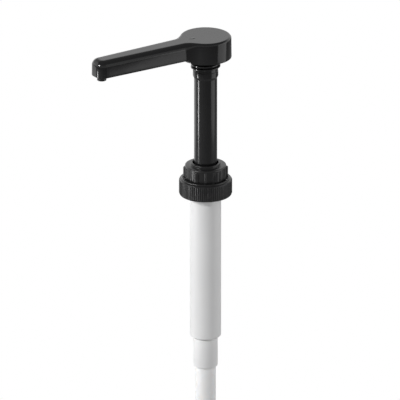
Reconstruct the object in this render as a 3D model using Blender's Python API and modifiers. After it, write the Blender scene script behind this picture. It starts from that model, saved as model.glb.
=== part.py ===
"""Condiment pump dispenser: a screw-on pump for a jar with a 38 mm neck.

Run with: blender --background --python part.py

The origin is the middle of the jar rim's plane, +Z is up along the stem, and the spout points to -X.
Sizes below are in millimetres, and MM turns them into Blender's metres.
"""

import math

import bmesh
import bpy
from mathutils import Matrix, Vector

MM = 0.001
GAP = 0.3  # clearance between pieces that touch
MERGE = 0.00001  # metres, for the seams of turned shapes
SHARP_ANGLE = math.radians(32)
COARSE, FINE = 24, 36  # steps round a turned piece: hidden, and seen

# Head: the push pad with its spout arm
PAD_RADIUS, PAD_TOP, PAD_BOTTOM = 20.4, 125.5, 108.0
PAD_FILLET = 2.1
ARM_TIP, ARM_BOTTOM = -103.3, 111.8
ARM_ROOT_HALF, ARM_TIP_HALF = 10.0, 8.5
ARM_CORNER, ARM_FILLET = 6.3, 5.3
FLARE_RADIUS = 15.5  # concave blend, in plan, from arm to pad
SHELL_WALL = 1.8
SKIRT_TOP = 113.9  # the pad's wall closes the arm's hollow up to here
NOZZLE_X, NOZZLE_BOTTOM = -96.6, 107.8
NOZZLE_RADIUS, NOZZLE_BORE = 3.7, 2.7
DUCT_Z, DUCT_RADIUS, DUCT_BORE = 118.6, 4.2, 2.9
DUCT_START, DUCT_END = -13.0, -99.9
SOCKET_RADIUS, SOCKET_BORE, SOCKET_BOTTOM = 14.0, 12.3, 108.4
SOCKET_CEILING, CHAMBER_ROOF, PLATE_TOP, PLATE_RADIUS = 115.2, 121.9, 123.2, 18.0

# Neck thread between the stem and the head
NECK_ROOT, NECK_CREST, NECK_PITCH = 11.0, 11.7, 2.6
NECK_BOTTOM, NECK_TOP = 98.2, 113.4
NECK_THREAD_LOW, NECK_TURNS = 99.2, 5.0
SOCKET_CREST, SOCKET_THREAD_LOW, SOCKET_TURNS = 11.45, 109.6, 1.5
RIDGE_BASE, RIDGE_TOP = 1.3, 0.5  # width of a thread ridge at its root and its crest
RIDGE_BURIED = 0.4  # how far a ridge's root goes into the wall
THREAD_START = 0.017  # turns past +X at which a thread begins
THREAD_STEPS = 20  # sections a turn
HEAD_SEAL_BORE = 7.4

# Stem
STEM_RADIUS, STEM_BORE = 9.13, 6.9
SLEEVE_RADIUS, SLEEVE_BOTTOM, SLEEVE_CHAMFER = 10.05, 92.4, 90.4
STEM_BORE_STEP = -1.3
SHOULDER_Z, SPIGOT_RADIUS, SPIGOT_BORE, SPIGOT_BOTTOM = -2.6, 7.4, 5.6, -12.6
CAGE_BORE, CAGE_TOP, CAGE_BOTTOM = 5.2, 3.0, -0.6
CAGE_BAR_RADIUS, CAGE_BAR_HALF, CAGE_BAR_Z = 0.8, 5.8, 1.6

# Collar, guide and wiper
COLLAR_RADIUS, COLLAR_TOP, COLLAR_BOTTOM, COLLAR_BORE = 16.4, 17.0, 4.7, 10.2
RING_RADIUS, RING_TOP = 11.8, 19.1
RIB_RADIUS, RIB_COUNT, RIB_TOP, RIB_BOTTOM = 16.9, 12, 16.2, 7.1
CAP_CEILING, WEB_UNDERSIDE = 13.2, 11.6  # the collar's inner cavity, and its web over the wiper
GUIDE_BORE, GUIDE_BOTTOM, GUIDE_TOP = 9.4, -2.4, 9.1
WIPER_BORE, WIPER_TOP, WIPER_BOTTOM, WIPER_LIP_Z = 10.1, 11.3, 9.4, 10.2

# Screw closure and its thread for the jar neck
CLOSURE_RADIUS, CLOSURE_TOP, CLOSURE_BOTTOM = 21.0, 6.6, -7.6
CLOSURE_HOLE, CLOSURE_BORE = 17.8, 19.1
LIP_UNDERSIDE, BEAD_RADIUS, GROOVE_Z = 4.6, 19.2, 5.5
JAR_PITCH, JAR_CREST, JAR_THREAD_LOW, JAR_TURNS = 4.233, 18.1, -6.1, 1.25

# Pump body and neck gasket
BODY_RADIUS, BODY_BORE, BODY_BOTTOM = 12.29, 11.0, -127.3
FLANGE_RADIUS, FLANGE_TOP, FLANGE_BOTTOM = 18.8, 4.3, 1.8
BOSS_RADIUS, BOSS_TOP, BOSS_BORE, BOSS_STEP = 15.1, 11.0, 12.6, 6.9
GASKET_INNER, GASKET_OUTER, GASKET_TOP = 12.9, 17.9, 1.5

# Piston and its rings
PISTON_RADIUS, PISTON_TOP, PISTON_BOTTOM = 10.7, -2.9, -16.6
GROOVE_RADIUS, GROOVE_HALF = 9.0, 1.2
RING_MAJOR, RING_SECTION = 10.0, 0.85
RING_CENTRES = (-6.0, -13.4)
OUTLET_SEAT = 2.6

# Return spring
WASHER_TOP, WASHER_BOTTOM, WASHER_BORE, WASHER_RADIUS = -16.9, -17.7, 6.4, 10.3
SPRING_RADIUS, SPRING_WIRE, SPRING_TURNS = 9.1, 0.6, 17
SPRING_TOP, SPRING_BOTTOM = -18.6, -119.1
SPRING_STEPS = 10  # points a turn

# Check balls
OUTLET_BALL, OUTLET_BALL_Z = 3.9, -10.2
INLET_BALL, INLET_BALL_Z = 4.8, -130.2

# Foot valve and dip tube
PLUG_RADIUS, PLUG_TOP, PLUG_BOTTOM = 10.7, -120.0, -126.4
FOOT_RADIUS, FOOT_BOTTOM = 9.63, -153.1
FOOT_RING_Z = -123.2
INLET_CHAMBER, INLET_SEAT, WEB_TOP, WEB_BOTTOM = 6.6, 4.1, -133.0, -135.0
KEEPER_RECESS, KEEPER_BORE, KEEPER_FLOOR = 8.4, 6.0, -121.9
KEEPER_BAR_RADIUS, KEEPER_BAR_HALF, KEEPER_BAR_Z = 0.55, 6.8, -120.95
TUBE_RADIUS, TUBE_BORE, TUBE_TOP, TUBE_BOTTOM = 8.13, 6.9, -137.2, -290.0
TUBE_CUT_SLOPE = math.radians(30)


def clear_scene():
    for obj in list(bpy.data.objects):
        bpy.data.objects.remove(obj, do_unlink=True)


def new_collection(name):
    collection = bpy.data.collections.new(name)
    bpy.context.scene.collection.children.link(collection)
    return collection


def new_material(name, colour, roughness, metallic=0.0, transmission=0.0):
    material = bpy.data.materials.new(name)
    material.use_nodes = True
    shader = material.node_tree.nodes["Principled BSDF"]
    shader.inputs["Base Color"].default_value = (*colour, 1.0)
    shader.inputs["Roughness"].default_value = roughness
    shader.inputs["Metallic"].default_value = metallic
    shader.inputs["Transmission Weight"].default_value = transmission
    material.diffuse_color = (*colour, 1.0)
    return material


clear_scene()
PARTS = new_collection("condiment_pump_dispenser")
CUTTERS = new_collection("cutters")

BLACK_GLOSS = new_material("black_gloss_plastic", (0.012, 0.012, 0.013), 0.22)
BLACK_SATIN = new_material("black_satin_plastic", (0.016, 0.016, 0.017), 0.42)
WHITE_PLASTIC = new_material("white_plastic", (0.82, 0.83, 0.83), 0.38)
CLEAR_PLASTIC = new_material("natural_tube_plastic", (0.84, 0.85, 0.85), 0.30, transmission=0.25)
SEAL_RUBBER = new_material("seal_rubber", (0.05, 0.05, 0.055), 0.65)
SPRING_STEEL = new_material("stainless_steel", (0.60, 0.61, 0.62), 0.25, metallic=1.0)


def add_object(name, mesh, finish=None):
    """Links a part, or a cutter where there is no finish."""
    obj = bpy.data.objects.new(name, mesh)
    if finish:
        PARTS.objects.link(obj)
        mesh.materials.append(finish)
        mesh.shade_smooth()
        mesh.set_sharp_from_angle(angle=SHARP_ANGLE)
    else:
        CUTTERS.objects.link(obj)
        obj.hide_render = True
        obj.display_type = "WIRE"
    return obj


def mesh_from(bm, name):
    """A closed bmesh as a mesh, with its faces turned to point out."""
    if bm.calc_volume(signed=True) < 0:
        bmesh.ops.reverse_faces(bm, faces=bm.faces)
    mesh = bpy.data.meshes.new(name)
    bm.to_mesh(mesh)
    bm.free()
    return mesh


def turned(name, profile, finish=None, steps=COARSE):
    """A profile of (radius, height) turned about Z. It runs out on top and down the outer side.

    It is a closed loop for a ring, and stays open where both its ends lie on the axis.
    """
    bm = bmesh.new()
    points = [bm.verts.new((radius * MM, 0.0, height * MM)) for radius, height in profile]
    for first, second in zip(points, points[1:]):
        bm.edges.new((first, second))
    if profile[0][0] > 0:
        bm.edges.new((points[-1], points[0]))
    mesh = bpy.data.meshes.new(name)
    bm.to_mesh(mesh)
    bm.free()
    obj = add_object(name, mesh)
    turn = obj.modifiers.new("turn", "SCREW")
    turn.steps = turn.render_steps = steps
    turn.use_merge_vertices = True
    turn.merge_threshold = MERGE
    turn.use_smooth_shade = False
    return made_mesh(obj, finish)


def made_mesh(obj, finish):
    """Replaces an object with the mesh that its modifiers or its curve make, its place included."""
    graph = bpy.context.evaluated_depsgraph_get()
    graph.update()
    mesh = bpy.data.meshes.new_from_object(obj.evaluated_get(graph))
    mesh.transform(obj.matrix_world)
    mesh.materials.clear()
    name = obj.name
    bpy.data.objects.remove(obj, do_unlink=True)
    mesh.name = name
    return add_object(name, mesh, finish)


def lofted(name, rings, finish=None):
    """A closed body through rings of the same number of points, from its bottom to its top."""
    bm = bmesh.new()
    loops = [[bm.verts.new(Vector(point) * MM) for point in ring] for ring in rings]
    for low, high in zip(loops, loops[1:]):
        for i, point in enumerate(low):
            after = (i + 1) % len(low)
            bm.faces.new((point, low[after], high[after], high[i]))
    bm.faces.new(reversed(loops[0]))
    bm.faces.new(loops[-1])
    return add_object(name, mesh_from(bm, name), finish)


def rod(name, radius, start, end, steps=COARSE):
    """A plain cylinder between two points, as a tool for a Boolean."""
    start, end = Vector(start) * MM, Vector(end) * MM
    bm = bmesh.new()
    bmesh.ops.create_cone(
        bm,
        cap_ends=True,
        segments=steps,
        radius1=radius * MM,
        radius2=radius * MM,
        depth=(end - start).length,
    )
    turn = (end - start).to_track_quat("Z", "Y").to_matrix().to_4x4()
    bm.transform(Matrix.Translation((start + end) / 2) @ turn)
    return add_object(name, mesh_from(bm, name))


def combine(target, tool, operation):
    change = target.modifiers.new(f"{operation.lower()}_{tool.name}", "BOOLEAN")
    change.object = tool
    change.operation = operation
    change.solver = "EXACT"


def ball(name, radius, height, finish):
    bm = bmesh.new()
    bmesh.ops.create_uvsphere(bm, u_segments=20, v_segments=12, radius=radius * MM)
    bm.transform(Matrix.Translation((0.0, 0.0, height * MM)))
    return add_object(name, mesh_from(bm, name), finish)


def sealing_ring(name, height):
    """An O-ring, turned about Z."""
    section = [
        (
            RING_MAJOR + RING_SECTION * math.sin(math.tau * i / 8),
            height + RING_SECTION * math.cos(math.tau * i / 8),
        )
        for i in range(8)
    ]
    return turned(name, section, SEAL_RUBBER)


def thread_ridge(name, root, crest, pitch, low, turns, start=THREAD_START):
    """One helical ridge: crest beyond root is an outer thread, crest inside root an inner one.

    Its root is buried in the wall, and its ends are blunt.
    """
    buried = root - math.copysign(RIDGE_BURIED, crest - root)
    count = round(turns * THREAD_STEPS)
    bm = bmesh.new()
    sections = []
    for i in range(count + 1):
        angle = math.tau * (i / THREAD_STEPS + start)
        height = low + pitch * i / THREAD_STEPS
        corners = (
            (buried, -RIDGE_BASE / 2),
            (crest, -RIDGE_TOP / 2),
            (crest, RIDGE_TOP / 2),
            (buried, RIDGE_BASE / 2),
        )
        sections.append(
            [
                bm.verts.new(
                    Vector((r * math.cos(angle), r * math.sin(angle), height + dz)) * MM
                )
                for r, dz in corners
            ]
        )
    for here, there in zip(sections, sections[1:]):
        for i in range(4):
            after = (i + 1) % 4
            bm.faces.new((here[i], here[after], there[after], there[i]))
    bm.faces.new(reversed(sections[0]))
    bm.faces.new(sections[-1])
    return add_object(name, mesh_from(bm, name))


def arc(centre, radius, start, end, count):
    """Points on an arc in plan, both ends included, with angles in radians."""
    return [
        (
            centre[0] + radius * math.cos(start + (end - start) * i / count),
            centre[1] + radius * math.sin(start + (end - start) * i / count),
        )
        for i in range(count + 1)
    ]


def head_outline():
    """The head in plan as (x, y, fillet), anticlockwise from the middle of its back.

    The fillet is the radius of the top edge there: small on the pad, and large along the arm.
    """
    centre_y = ARM_ROOT_HALF + FLARE_RADIUS
    reach = PAD_RADIUS + FLARE_RADIUS
    centre_x = -math.sqrt(reach**2 - centre_y**2)
    meet = math.atan2(centre_y, centre_x)
    pad = [(x, y, PAD_FILLET) for x, y in arc((0.0, 0.0), PAD_RADIUS, 0.0, meet, 13)]
    flare = arc((centre_x, centre_y), FLARE_RADIUS, meet - math.pi, -math.pi / 2, 6)[1:]
    flare = [
        (x, y, PAD_FILLET + (ARM_FILLET - PAD_FILLET) * (i + 1) / len(flare))
        for i, (x, y) in enumerate(flare)
    ]
    corner = (ARM_TIP + ARM_CORNER, ARM_TIP_HALF - ARM_CORNER)
    tip = [(x, y, ARM_FILLET) for x, y in arc(corner, ARM_CORNER, math.pi / 2, math.pi, 6)]
    half = pad + flare + tip
    return half + [(x, -y, fillet) for x, y, fillet in reversed(half[1:])]


def inset_outline(outline, distance):
    """The outline's points moved inwards, each by distance times its own share."""
    moved = []
    for i, (x, y, fillet) in enumerate(outline):
        before, after = Vector(outline[i - 1][:2]), Vector(outline[(i + 1) % len(outline)][:2])
        here = Vector((x, y))
        along = (here - before).normalized() + (after - here).normalized()
        normal = Vector((-along.y, along.x)).normalized()
        depth = distance(fillet)
        moved.append((x + normal.x * depth, y + normal.y * depth))
    return moved


def head_solid(name, wall, bottom, top, finish=None):
    """The head's outline as a solid with a rounded top edge, kept wall inside the outer surface."""
    outline = head_outline()
    rings = [[(x, y, bottom) for x, y in inset_outline(outline, lambda fillet: wall)]]
    for step in range(5):
        turn = math.pi / 2 * step / 4
        flat = inset_outline(outline, lambda fillet: wall + (fillet - wall) * (1 - math.cos(turn)))
        rings.append(
            [
                (x, y, top - (corner[2] - wall) * (1 - math.sin(turn)))
                for (x, y), corner in zip(flat, outline)
            ]
        )
    return lofted(name, rings, finish)


def make_head_shell():
    shell = head_solid("head_shell", 0.0, PAD_BOTTOM, PAD_TOP, BLACK_GLOSS)
    cavity = head_solid("head_cavity", SHELL_WALL, PAD_BOTTOM - 1, PAD_TOP - SHELL_WALL)
    under_arm = turned(
        "under_arm_space",
        [
            (PAD_RADIUS + 0.2, ARM_BOTTOM),
            (-ARM_TIP + 10, ARM_BOTTOM),
            (-ARM_TIP + 10, PAD_BOTTOM - 5),
            (PAD_RADIUS + 0.2, PAD_BOTTOM - 5),
        ],
        steps=FINE,
    )
    skirt = turned(
        "pad_skirt",
        [
            (PAD_RADIUS - 0.15, SKIRT_TOP),
            (PAD_RADIUS - 0.15, PAD_BOTTOM + 0.2),
            (PAD_RADIUS - SHELL_WALL + 0.15, PAD_BOTTOM + 0.2),
            (PAD_RADIUS - SHELL_WALL + 0.15, SKIRT_TOP),
        ],
        steps=FINE,
    )
    combine(shell, under_arm, "DIFFERENCE")
    combine(shell, cavity, "DIFFERENCE")
    combine(shell, skirt, "UNION")


def make_spout_channel():
    """The inner moulding: threaded socket, duct along the arm, and outlet nozzle."""
    channel = turned(
        "spout_channel",
        [
            (0.0, PLATE_TOP),
            (PLATE_RADIUS, PLATE_TOP),
            (PLATE_RADIUS, CHAMBER_ROOF),
            (SOCKET_RADIUS, CHAMBER_ROOF),
            (SOCKET_RADIUS, SOCKET_BOTTOM),
            (SOCKET_BORE, SOCKET_BOTTOM),
            (SOCKET_BORE, SOCKET_CEILING),
            (STEM_BORE, SOCKET_CEILING),
            (STEM_BORE, CHAMBER_ROOF),
            (0.0, CHAMBER_ROOF),
        ],
        BLACK_SATIN,
    )
    duct = rod("duct", DUCT_RADIUS, (DUCT_START, 0, DUCT_Z), (DUCT_END, 0, DUCT_Z))
    nozzle = rod("nozzle", NOZZLE_RADIUS, (NOZZLE_X, 0, NOZZLE_BOTTOM), (NOZZLE_X, 0, DUCT_Z))
    duct_bore = rod("duct_bore", DUCT_BORE, (0, 0, DUCT_Z), (NOZZLE_X - 1.5, 0, DUCT_Z))
    nozzle_bore = rod(
        "nozzle_bore", NOZZLE_BORE, (NOZZLE_X, 0, NOZZLE_BOTTOM - 1), (NOZZLE_X, 0, DUCT_Z + 0.4)
    )
    ridge = thread_ridge(
        "socket_thread",
        SOCKET_BORE,
        SOCKET_CREST,
        NECK_PITCH,
        SOCKET_THREAD_LOW,
        SOCKET_TURNS,
        start=thread_phase(SOCKET_THREAD_LOW) + 0.5,
    )
    combine(channel, duct, "UNION")
    combine(channel, nozzle, "UNION")
    combine(channel, ridge, "UNION")
    combine(channel, duct_bore, "DIFFERENCE")
    combine(channel, nozzle_bore, "DIFFERENCE")


def thread_phase(height):
    """The turn, counted from +X, at which the neck thread passes a height."""
    return THREAD_START + (height - NECK_THREAD_LOW) / NECK_PITCH


def make_stem():
    stem = turned(
        "stem_tube",
        [
            (STEM_BORE, NECK_TOP),
            (NECK_ROOT - 0.5, NECK_TOP),
            (NECK_ROOT, NECK_TOP - 0.5),
            (NECK_ROOT, NECK_BOTTOM),
            (SLEEVE_RADIUS, NECK_BOTTOM),
            (SLEEVE_RADIUS, SLEEVE_BOTTOM),
            (STEM_RADIUS, SLEEVE_CHAMFER),
            (STEM_RADIUS, SHOULDER_Z),
            (SPIGOT_RADIUS, SHOULDER_Z),
            (SPIGOT_RADIUS, SPIGOT_BOTTOM),
            (SPIGOT_BORE, SPIGOT_BOTTOM),
            (SPIGOT_BORE, SHOULDER_Z),
            (STEM_BORE, STEM_BORE_STEP),
        ],
        BLACK_GLOSS,
        steps=FINE,
    )
    ridge = thread_ridge(
        "neck_thread", NECK_ROOT, NECK_CREST, NECK_PITCH, NECK_THREAD_LOW, NECK_TURNS
    )
    combine(stem, ridge, "UNION")


def make_head_seal():
    turned(
        "head_seal",
        [
            (HEAD_SEAL_BORE, SOCKET_CEILING - GAP),
            (NECK_ROOT - GAP, SOCKET_CEILING - GAP),
            (NECK_ROOT - GAP, NECK_TOP + GAP),
            (HEAD_SEAL_BORE, NECK_TOP + GAP),
        ],
        SEAL_RUBBER,
    )


def rib_sleeve(name, inner, crest, low, high, count):
    """A ring of ribs that stand up from a wall: an open sleeve whose outer side is toothed."""
    outline, core = [], []
    for i in range(count * 4):
        angle = math.tau * i / (count * 4)
        radius = crest if i % 4 in (0, 1) else inner + 0.2
        outline.append((radius * math.cos(angle), radius * math.sin(angle)))
        core.append(((inner - 0.6) * math.cos(angle), (inner - 0.6) * math.sin(angle)))
    sleeve = lofted(name, [[(x, y, z) for x, y in outline] for z in (low, high)])
    hole = lofted(f"{name}_core", [[(x, y, z) for x, y in core] for z in (low - 1, high + 1)])
    combine(sleeve, hole, "DIFFERENCE")
    return made_mesh(sleeve, None)


def make_collar():
    collar = turned(
        "collar_cap",
        [
            (RING_RADIUS, COLLAR_TOP),
            (COLLAR_RADIUS - 0.9, COLLAR_TOP),
            (COLLAR_RADIUS, COLLAR_TOP - 0.9),
            (COLLAR_RADIUS, COLLAR_BOTTOM),
            (BOSS_RADIUS + GAP, COLLAR_BOTTOM),
            (BOSS_RADIUS + GAP, CAP_CEILING),
            (BOSS_BORE - 0.2, CAP_CEILING),
            (BOSS_BORE - 0.2, WEB_UNDERSIDE),
            (COLLAR_BORE, WEB_UNDERSIDE),
            (COLLAR_BORE, RING_TOP - 0.5),
            (COLLAR_BORE + 0.5, RING_TOP),
            (RING_RADIUS - 0.5, RING_TOP),
            (RING_RADIUS, RING_TOP - 0.5),
        ],
        BLACK_SATIN,
        steps=FINE,
    )
    ribs = rib_sleeve("collar_ribs", COLLAR_RADIUS, RIB_RADIUS, RIB_BOTTOM, RIB_TOP, RIB_COUNT)
    combine(collar, ribs, "UNION")


def make_guide_bushing():
    turned(
        "guide_bushing",
        [
            (GUIDE_BORE, GUIDE_TOP),
            (BOSS_BORE - GAP, GUIDE_TOP),
            (BOSS_BORE - GAP, BOSS_STEP + GAP),
            (BODY_BORE - GAP, BOSS_STEP + GAP),
            (BODY_BORE - GAP, GUIDE_BOTTOM),
            (GUIDE_BORE, GUIDE_BOTTOM),
        ],
        WHITE_PLASTIC,
    )


def make_wiper():
    turned(
        "wiper_seal",
        [
            (WIPER_BORE, WIPER_TOP),
            (BOSS_BORE - GAP, WIPER_TOP),
            (BOSS_BORE - GAP, WIPER_BOTTOM),
            (WIPER_BORE, WIPER_BOTTOM),
            (GUIDE_BORE, WIPER_LIP_Z),
        ],
        SEAL_RUBBER,
    )


def make_closure():
    closure = turned(
        "screw_closure",
        [
            (CLOSURE_HOLE, CLOSURE_TOP),
            (BEAD_RADIUS - 0.5, CLOSURE_TOP),
            (BEAD_RADIUS, CLOSURE_TOP - 0.5),
            (BEAD_RADIUS, GROOVE_Z),
            (CLOSURE_RADIUS - 0.9, GROOVE_Z - 0.2),
            (CLOSURE_RADIUS - 0.2, GROOVE_Z - 1.0),
            (CLOSURE_RADIUS, CLOSURE_BOTTOM + 1.0),
            (CLOSURE_RADIUS - 0.7, CLOSURE_BOTTOM),
            (CLOSURE_BORE, CLOSURE_BOTTOM),
            (CLOSURE_BORE, LIP_UNDERSIDE),
            (CLOSURE_HOLE, LIP_UNDERSIDE),
        ],
        BLACK_SATIN,
        steps=FINE,
    )
    ridge = thread_ridge(
        "jar_thread", CLOSURE_BORE, JAR_CREST, JAR_PITCH, JAR_THREAD_LOW, JAR_TURNS
    )
    combine(closure, ridge, "UNION")


def make_gasket():
    """It lies on the jar's rim, so its underside is the plane of the origin."""
    turned(
        "neck_gasket",
        [
            (GASKET_INNER, GASKET_TOP),
            (GASKET_OUTER, GASKET_TOP),
            (GASKET_OUTER, 0.0),
            (GASKET_INNER, 0.0),
        ],
        SEAL_RUBBER,
        steps=FINE,
    )


def make_body():
    turned(
        "pump_body",
        [
            (BOSS_BORE, BOSS_TOP),
            (BOSS_RADIUS, BOSS_TOP),
            (BOSS_RADIUS, FLANGE_TOP),
            (FLANGE_RADIUS, FLANGE_TOP),
            (FLANGE_RADIUS, FLANGE_BOTTOM),
            (BODY_RADIUS, FLANGE_BOTTOM),
            (BODY_RADIUS, BODY_BOTTOM + 0.4),
            (BODY_RADIUS - 0.4, BODY_BOTTOM),
            (BODY_BORE, BODY_BOTTOM),
            (BODY_BORE, BOSS_STEP),
            (BOSS_BORE, BOSS_STEP),
        ],
        WHITE_PLASTIC,
        steps=FINE,
    )


def grooves(centres, radius):
    """The points of ring grooves in a piece's outer side, from the top groove down."""
    points = []
    for centre in centres:
        points += [
            (radius, centre + GROOVE_HALF),
            (GROOVE_RADIUS, centre + GROOVE_HALF),
            (GROOVE_RADIUS, centre - GROOVE_HALF),
            (radius, centre - GROOVE_HALF),
        ]
    return points


def make_piston():
    """Its upper bore takes the stem's spigot, and its lower bore is the outlet ball's seat."""
    spigot_bore = SPIGOT_RADIUS + GAP
    turned(
        "piston",
        [
            (spigot_bore, PISTON_TOP),
            (PISTON_RADIUS, PISTON_TOP),
            *grooves(RING_CENTRES, PISTON_RADIUS),
            (PISTON_RADIUS, PISTON_BOTTOM),
            (OUTLET_SEAT + 2.0, PISTON_BOTTOM),
            (OUTLET_SEAT, PISTON_BOTTOM + 1.6),
            (OUTLET_SEAT, SPIGOT_BOTTOM - 1.0),
            (OUTLET_SEAT + 1.6, SPIGOT_BOTTOM - GAP),
            (spigot_bore, SPIGOT_BOTTOM - GAP),
        ],
        WHITE_PLASTIC,
    )
    for place, centre in zip(("upper", "lower"), RING_CENTRES):
        sealing_ring(f"piston_ring_{place}", centre)


def make_outlet_cage():
    """A ring with a bar across it, pressed in the stem above the outlet ball."""
    cage = turned(
        "outlet_ball_cage",
        [
            (CAGE_BORE, CAGE_TOP),
            (STEM_BORE - GAP, CAGE_TOP),
            (STEM_BORE - GAP, CAGE_BOTTOM),
            (CAGE_BORE, CAGE_BOTTOM),
        ],
        WHITE_PLASTIC,
    )
    ends = ((-CAGE_BAR_HALF, 0, CAGE_BAR_Z), (CAGE_BAR_HALF, 0, CAGE_BAR_Z))
    bar = rod("outlet_bar", CAGE_BAR_RADIUS, *ends, steps=8)
    combine(cage, bar, "UNION")


def make_spring():
    turned(
        "spring_washer",
        [
            (WASHER_BORE, WASHER_TOP),
            (WASHER_RADIUS, WASHER_TOP),
            (WASHER_RADIUS, WASHER_BOTTOM),
            (WASHER_BORE, WASHER_BOTTOM),
        ],
        SPRING_STEEL,
    )
    curve = bpy.data.curves.new("return_spring", "CURVE")
    curve.dimensions = "3D"
    curve.bevel_depth = SPRING_WIRE * MM
    curve.bevel_resolution = 2
    curve.use_fill_caps = True
    count = SPRING_TURNS * SPRING_STEPS
    spline = curve.splines.new("POLY")
    spline.points.add(count)
    for i, point in enumerate(spline.points):
        angle = math.tau * i / SPRING_STEPS
        height = spring_height(i / SPRING_STEPS)
        x, y = SPRING_RADIUS * math.cos(angle), SPRING_RADIUS * math.sin(angle)
        point.co = (x * MM, y * MM, height * MM, 1.0)
    spring = bpy.data.objects.new("return_spring", curve)
    PARTS.objects.link(spring)
    curve.materials.append(SPRING_STEEL)


def spring_height(turn):
    """The wire's height at a turn: the first and last turns are closed, and lie one wire apart."""
    closed = 2 * SPRING_WIRE + 0.1
    if turn <= 1:
        return SPRING_BOTTOM + closed * turn
    if turn >= SPRING_TURNS - 1:
        return SPRING_TOP - closed * (SPRING_TURNS - turn)
    free = (SPRING_TOP - SPRING_BOTTOM - 2 * closed) / (SPRING_TURNS - 2)
    return SPRING_BOTTOM + closed + free * (turn - 1)


def make_foot_valve():
    """The plug in the cylinder's end, with the inlet ball's chamber, its seat and the dip tube's socket."""
    socket = TUBE_RADIUS + GAP
    turned(
        "foot_valve_housing",
        [
            (KEEPER_RECESS, PLUG_TOP),
            (PLUG_RADIUS, PLUG_TOP),
            *grooves((FOOT_RING_Z,), PLUG_RADIUS),
            (PLUG_RADIUS, PLUG_BOTTOM),
            (FOOT_RADIUS, PLUG_BOTTOM),
            (FOOT_RADIUS, FOOT_BOTTOM + 0.5),
            (FOOT_RADIUS - 0.4, FOOT_BOTTOM),
            (socket, FOOT_BOTTOM),
            (socket, TUBE_TOP + GAP),
            (INLET_SEAT, WEB_BOTTOM),
            (INLET_SEAT, WEB_TOP - 0.4),
            (INLET_CHAMBER, WEB_TOP + 1.6),
            (INLET_CHAMBER, KEEPER_FLOOR),
            (KEEPER_RECESS, KEEPER_FLOOR),
        ],
        WHITE_PLASTIC,
        steps=FINE,
    )
    sealing_ring("foot_valve_ring", FOOT_RING_Z)
    keeper = turned(
        "inlet_ball_keeper",
        [
            (KEEPER_BORE, PLUG_TOP - GAP),
            (KEEPER_RECESS - GAP, PLUG_TOP - GAP),
            (KEEPER_RECESS - GAP, KEEPER_FLOOR + GAP),
            (KEEPER_BORE, KEEPER_FLOOR + GAP),
        ],
        WHITE_PLASTIC,
    )
    ends = ((-KEEPER_BAR_HALF, 0, KEEPER_BAR_Z), (KEEPER_BAR_HALF, 0, KEEPER_BAR_Z))
    bar = rod("keeper_bar", KEEPER_BAR_RADIUS, *ends, steps=8)
    combine(keeper, bar, "UNION")


def make_dip_tube():
    """A plain tube, cut on a slant so that it can't seal itself on the jar's floor."""
    tube = turned(
        "dip_tube",
        [
            (TUBE_BORE, TUBE_TOP),
            (TUBE_RADIUS, TUBE_TOP),
            (TUBE_RADIUS, TUBE_BOTTOM - 1),
            (TUBE_BORE, TUBE_BOTTOM - 1),
        ],
        CLEAR_PLASTIC,
    )
    reach = 4 * TUBE_RADIUS
    drop = TUBE_RADIUS * math.tan(TUBE_CUT_SLOPE)
    slope = reach * math.tan(TUBE_CUT_SLOPE)
    square = ((reach, reach), (-reach, reach), (-reach, -reach), (reach, -reach))
    low = [(x, y, TUBE_BOTTOM - reach) for x, y in reversed(square)]
    high = [(x, y, TUBE_BOTTOM + drop + slope * x / reach) for x, y in reversed(square)]
    cutter = lofted("slant_cut", [low, high])
    combine(tube, cutter, "DIFFERENCE")


def main():
    make_head_shell()
    make_spout_channel()
    make_head_seal()
    make_stem()
    make_collar()
    make_wiper()
    make_guide_bushing()
    make_closure()
    make_gasket()
    make_body()
    make_piston()
    ball("outlet_ball", OUTLET_BALL, OUTLET_BALL_Z, SPRING_STEEL)
    make_outlet_cage()
    make_spring()
    make_foot_valve()
    ball("inlet_ball", INLET_BALL, INLET_BALL_Z, SPRING_STEEL)
    make_dip_tube()


main()
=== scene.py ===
"""Visual model of a condiment pump dispenser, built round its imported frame.

Sizes are in millimetres, with the jar rim's plane at height 0, and MM turns them into metres.
Each sub-assembly is a class that holds its sizes, builds its meshes and dresses them.
"""

from __future__ import annotations

import logging
import math
from dataclasses import dataclass
from enum import Enum
from typing import Any, Sequence

import bmesh
import bpy
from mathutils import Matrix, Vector

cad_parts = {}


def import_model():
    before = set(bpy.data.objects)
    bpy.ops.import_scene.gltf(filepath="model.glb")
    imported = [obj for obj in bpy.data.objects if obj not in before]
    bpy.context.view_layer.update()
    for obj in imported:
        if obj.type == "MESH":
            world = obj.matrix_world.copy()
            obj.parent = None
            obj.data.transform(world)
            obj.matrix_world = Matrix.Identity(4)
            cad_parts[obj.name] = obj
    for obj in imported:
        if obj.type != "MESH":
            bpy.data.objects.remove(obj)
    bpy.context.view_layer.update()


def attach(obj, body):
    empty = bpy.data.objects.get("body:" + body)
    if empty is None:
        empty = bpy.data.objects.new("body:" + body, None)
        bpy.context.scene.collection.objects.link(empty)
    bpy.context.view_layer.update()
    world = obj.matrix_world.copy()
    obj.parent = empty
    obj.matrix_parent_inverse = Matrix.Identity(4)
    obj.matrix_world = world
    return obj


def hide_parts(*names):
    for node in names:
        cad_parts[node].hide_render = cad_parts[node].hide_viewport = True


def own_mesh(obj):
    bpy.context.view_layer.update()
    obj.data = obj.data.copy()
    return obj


MM = 0.001
SHARP = math.radians(34)  # an edge that turns harder than this is shaded sharp
FINE_STEPS = 128  # steps round a piece that shows
INNER_STEPS = 64  # steps round a piece inside
ON_AXIS = 1e-6  # a smaller radius is a point on the axis
THREAD_FADE = 4.0  # a thread's ends fade over one part in this many of a turn
WIRE_CLOSED = 2.15  # a closed coil's pitch, in wire radii
WHITE = (1.0, 1.0, 1.0, 1.0)
DUST = (0.42, 0.41, 0.39, 1.0)
SCATTER = (1.0, 0.95, 0.9)  # how far red, green and blue go into plastic, by comparison
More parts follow.
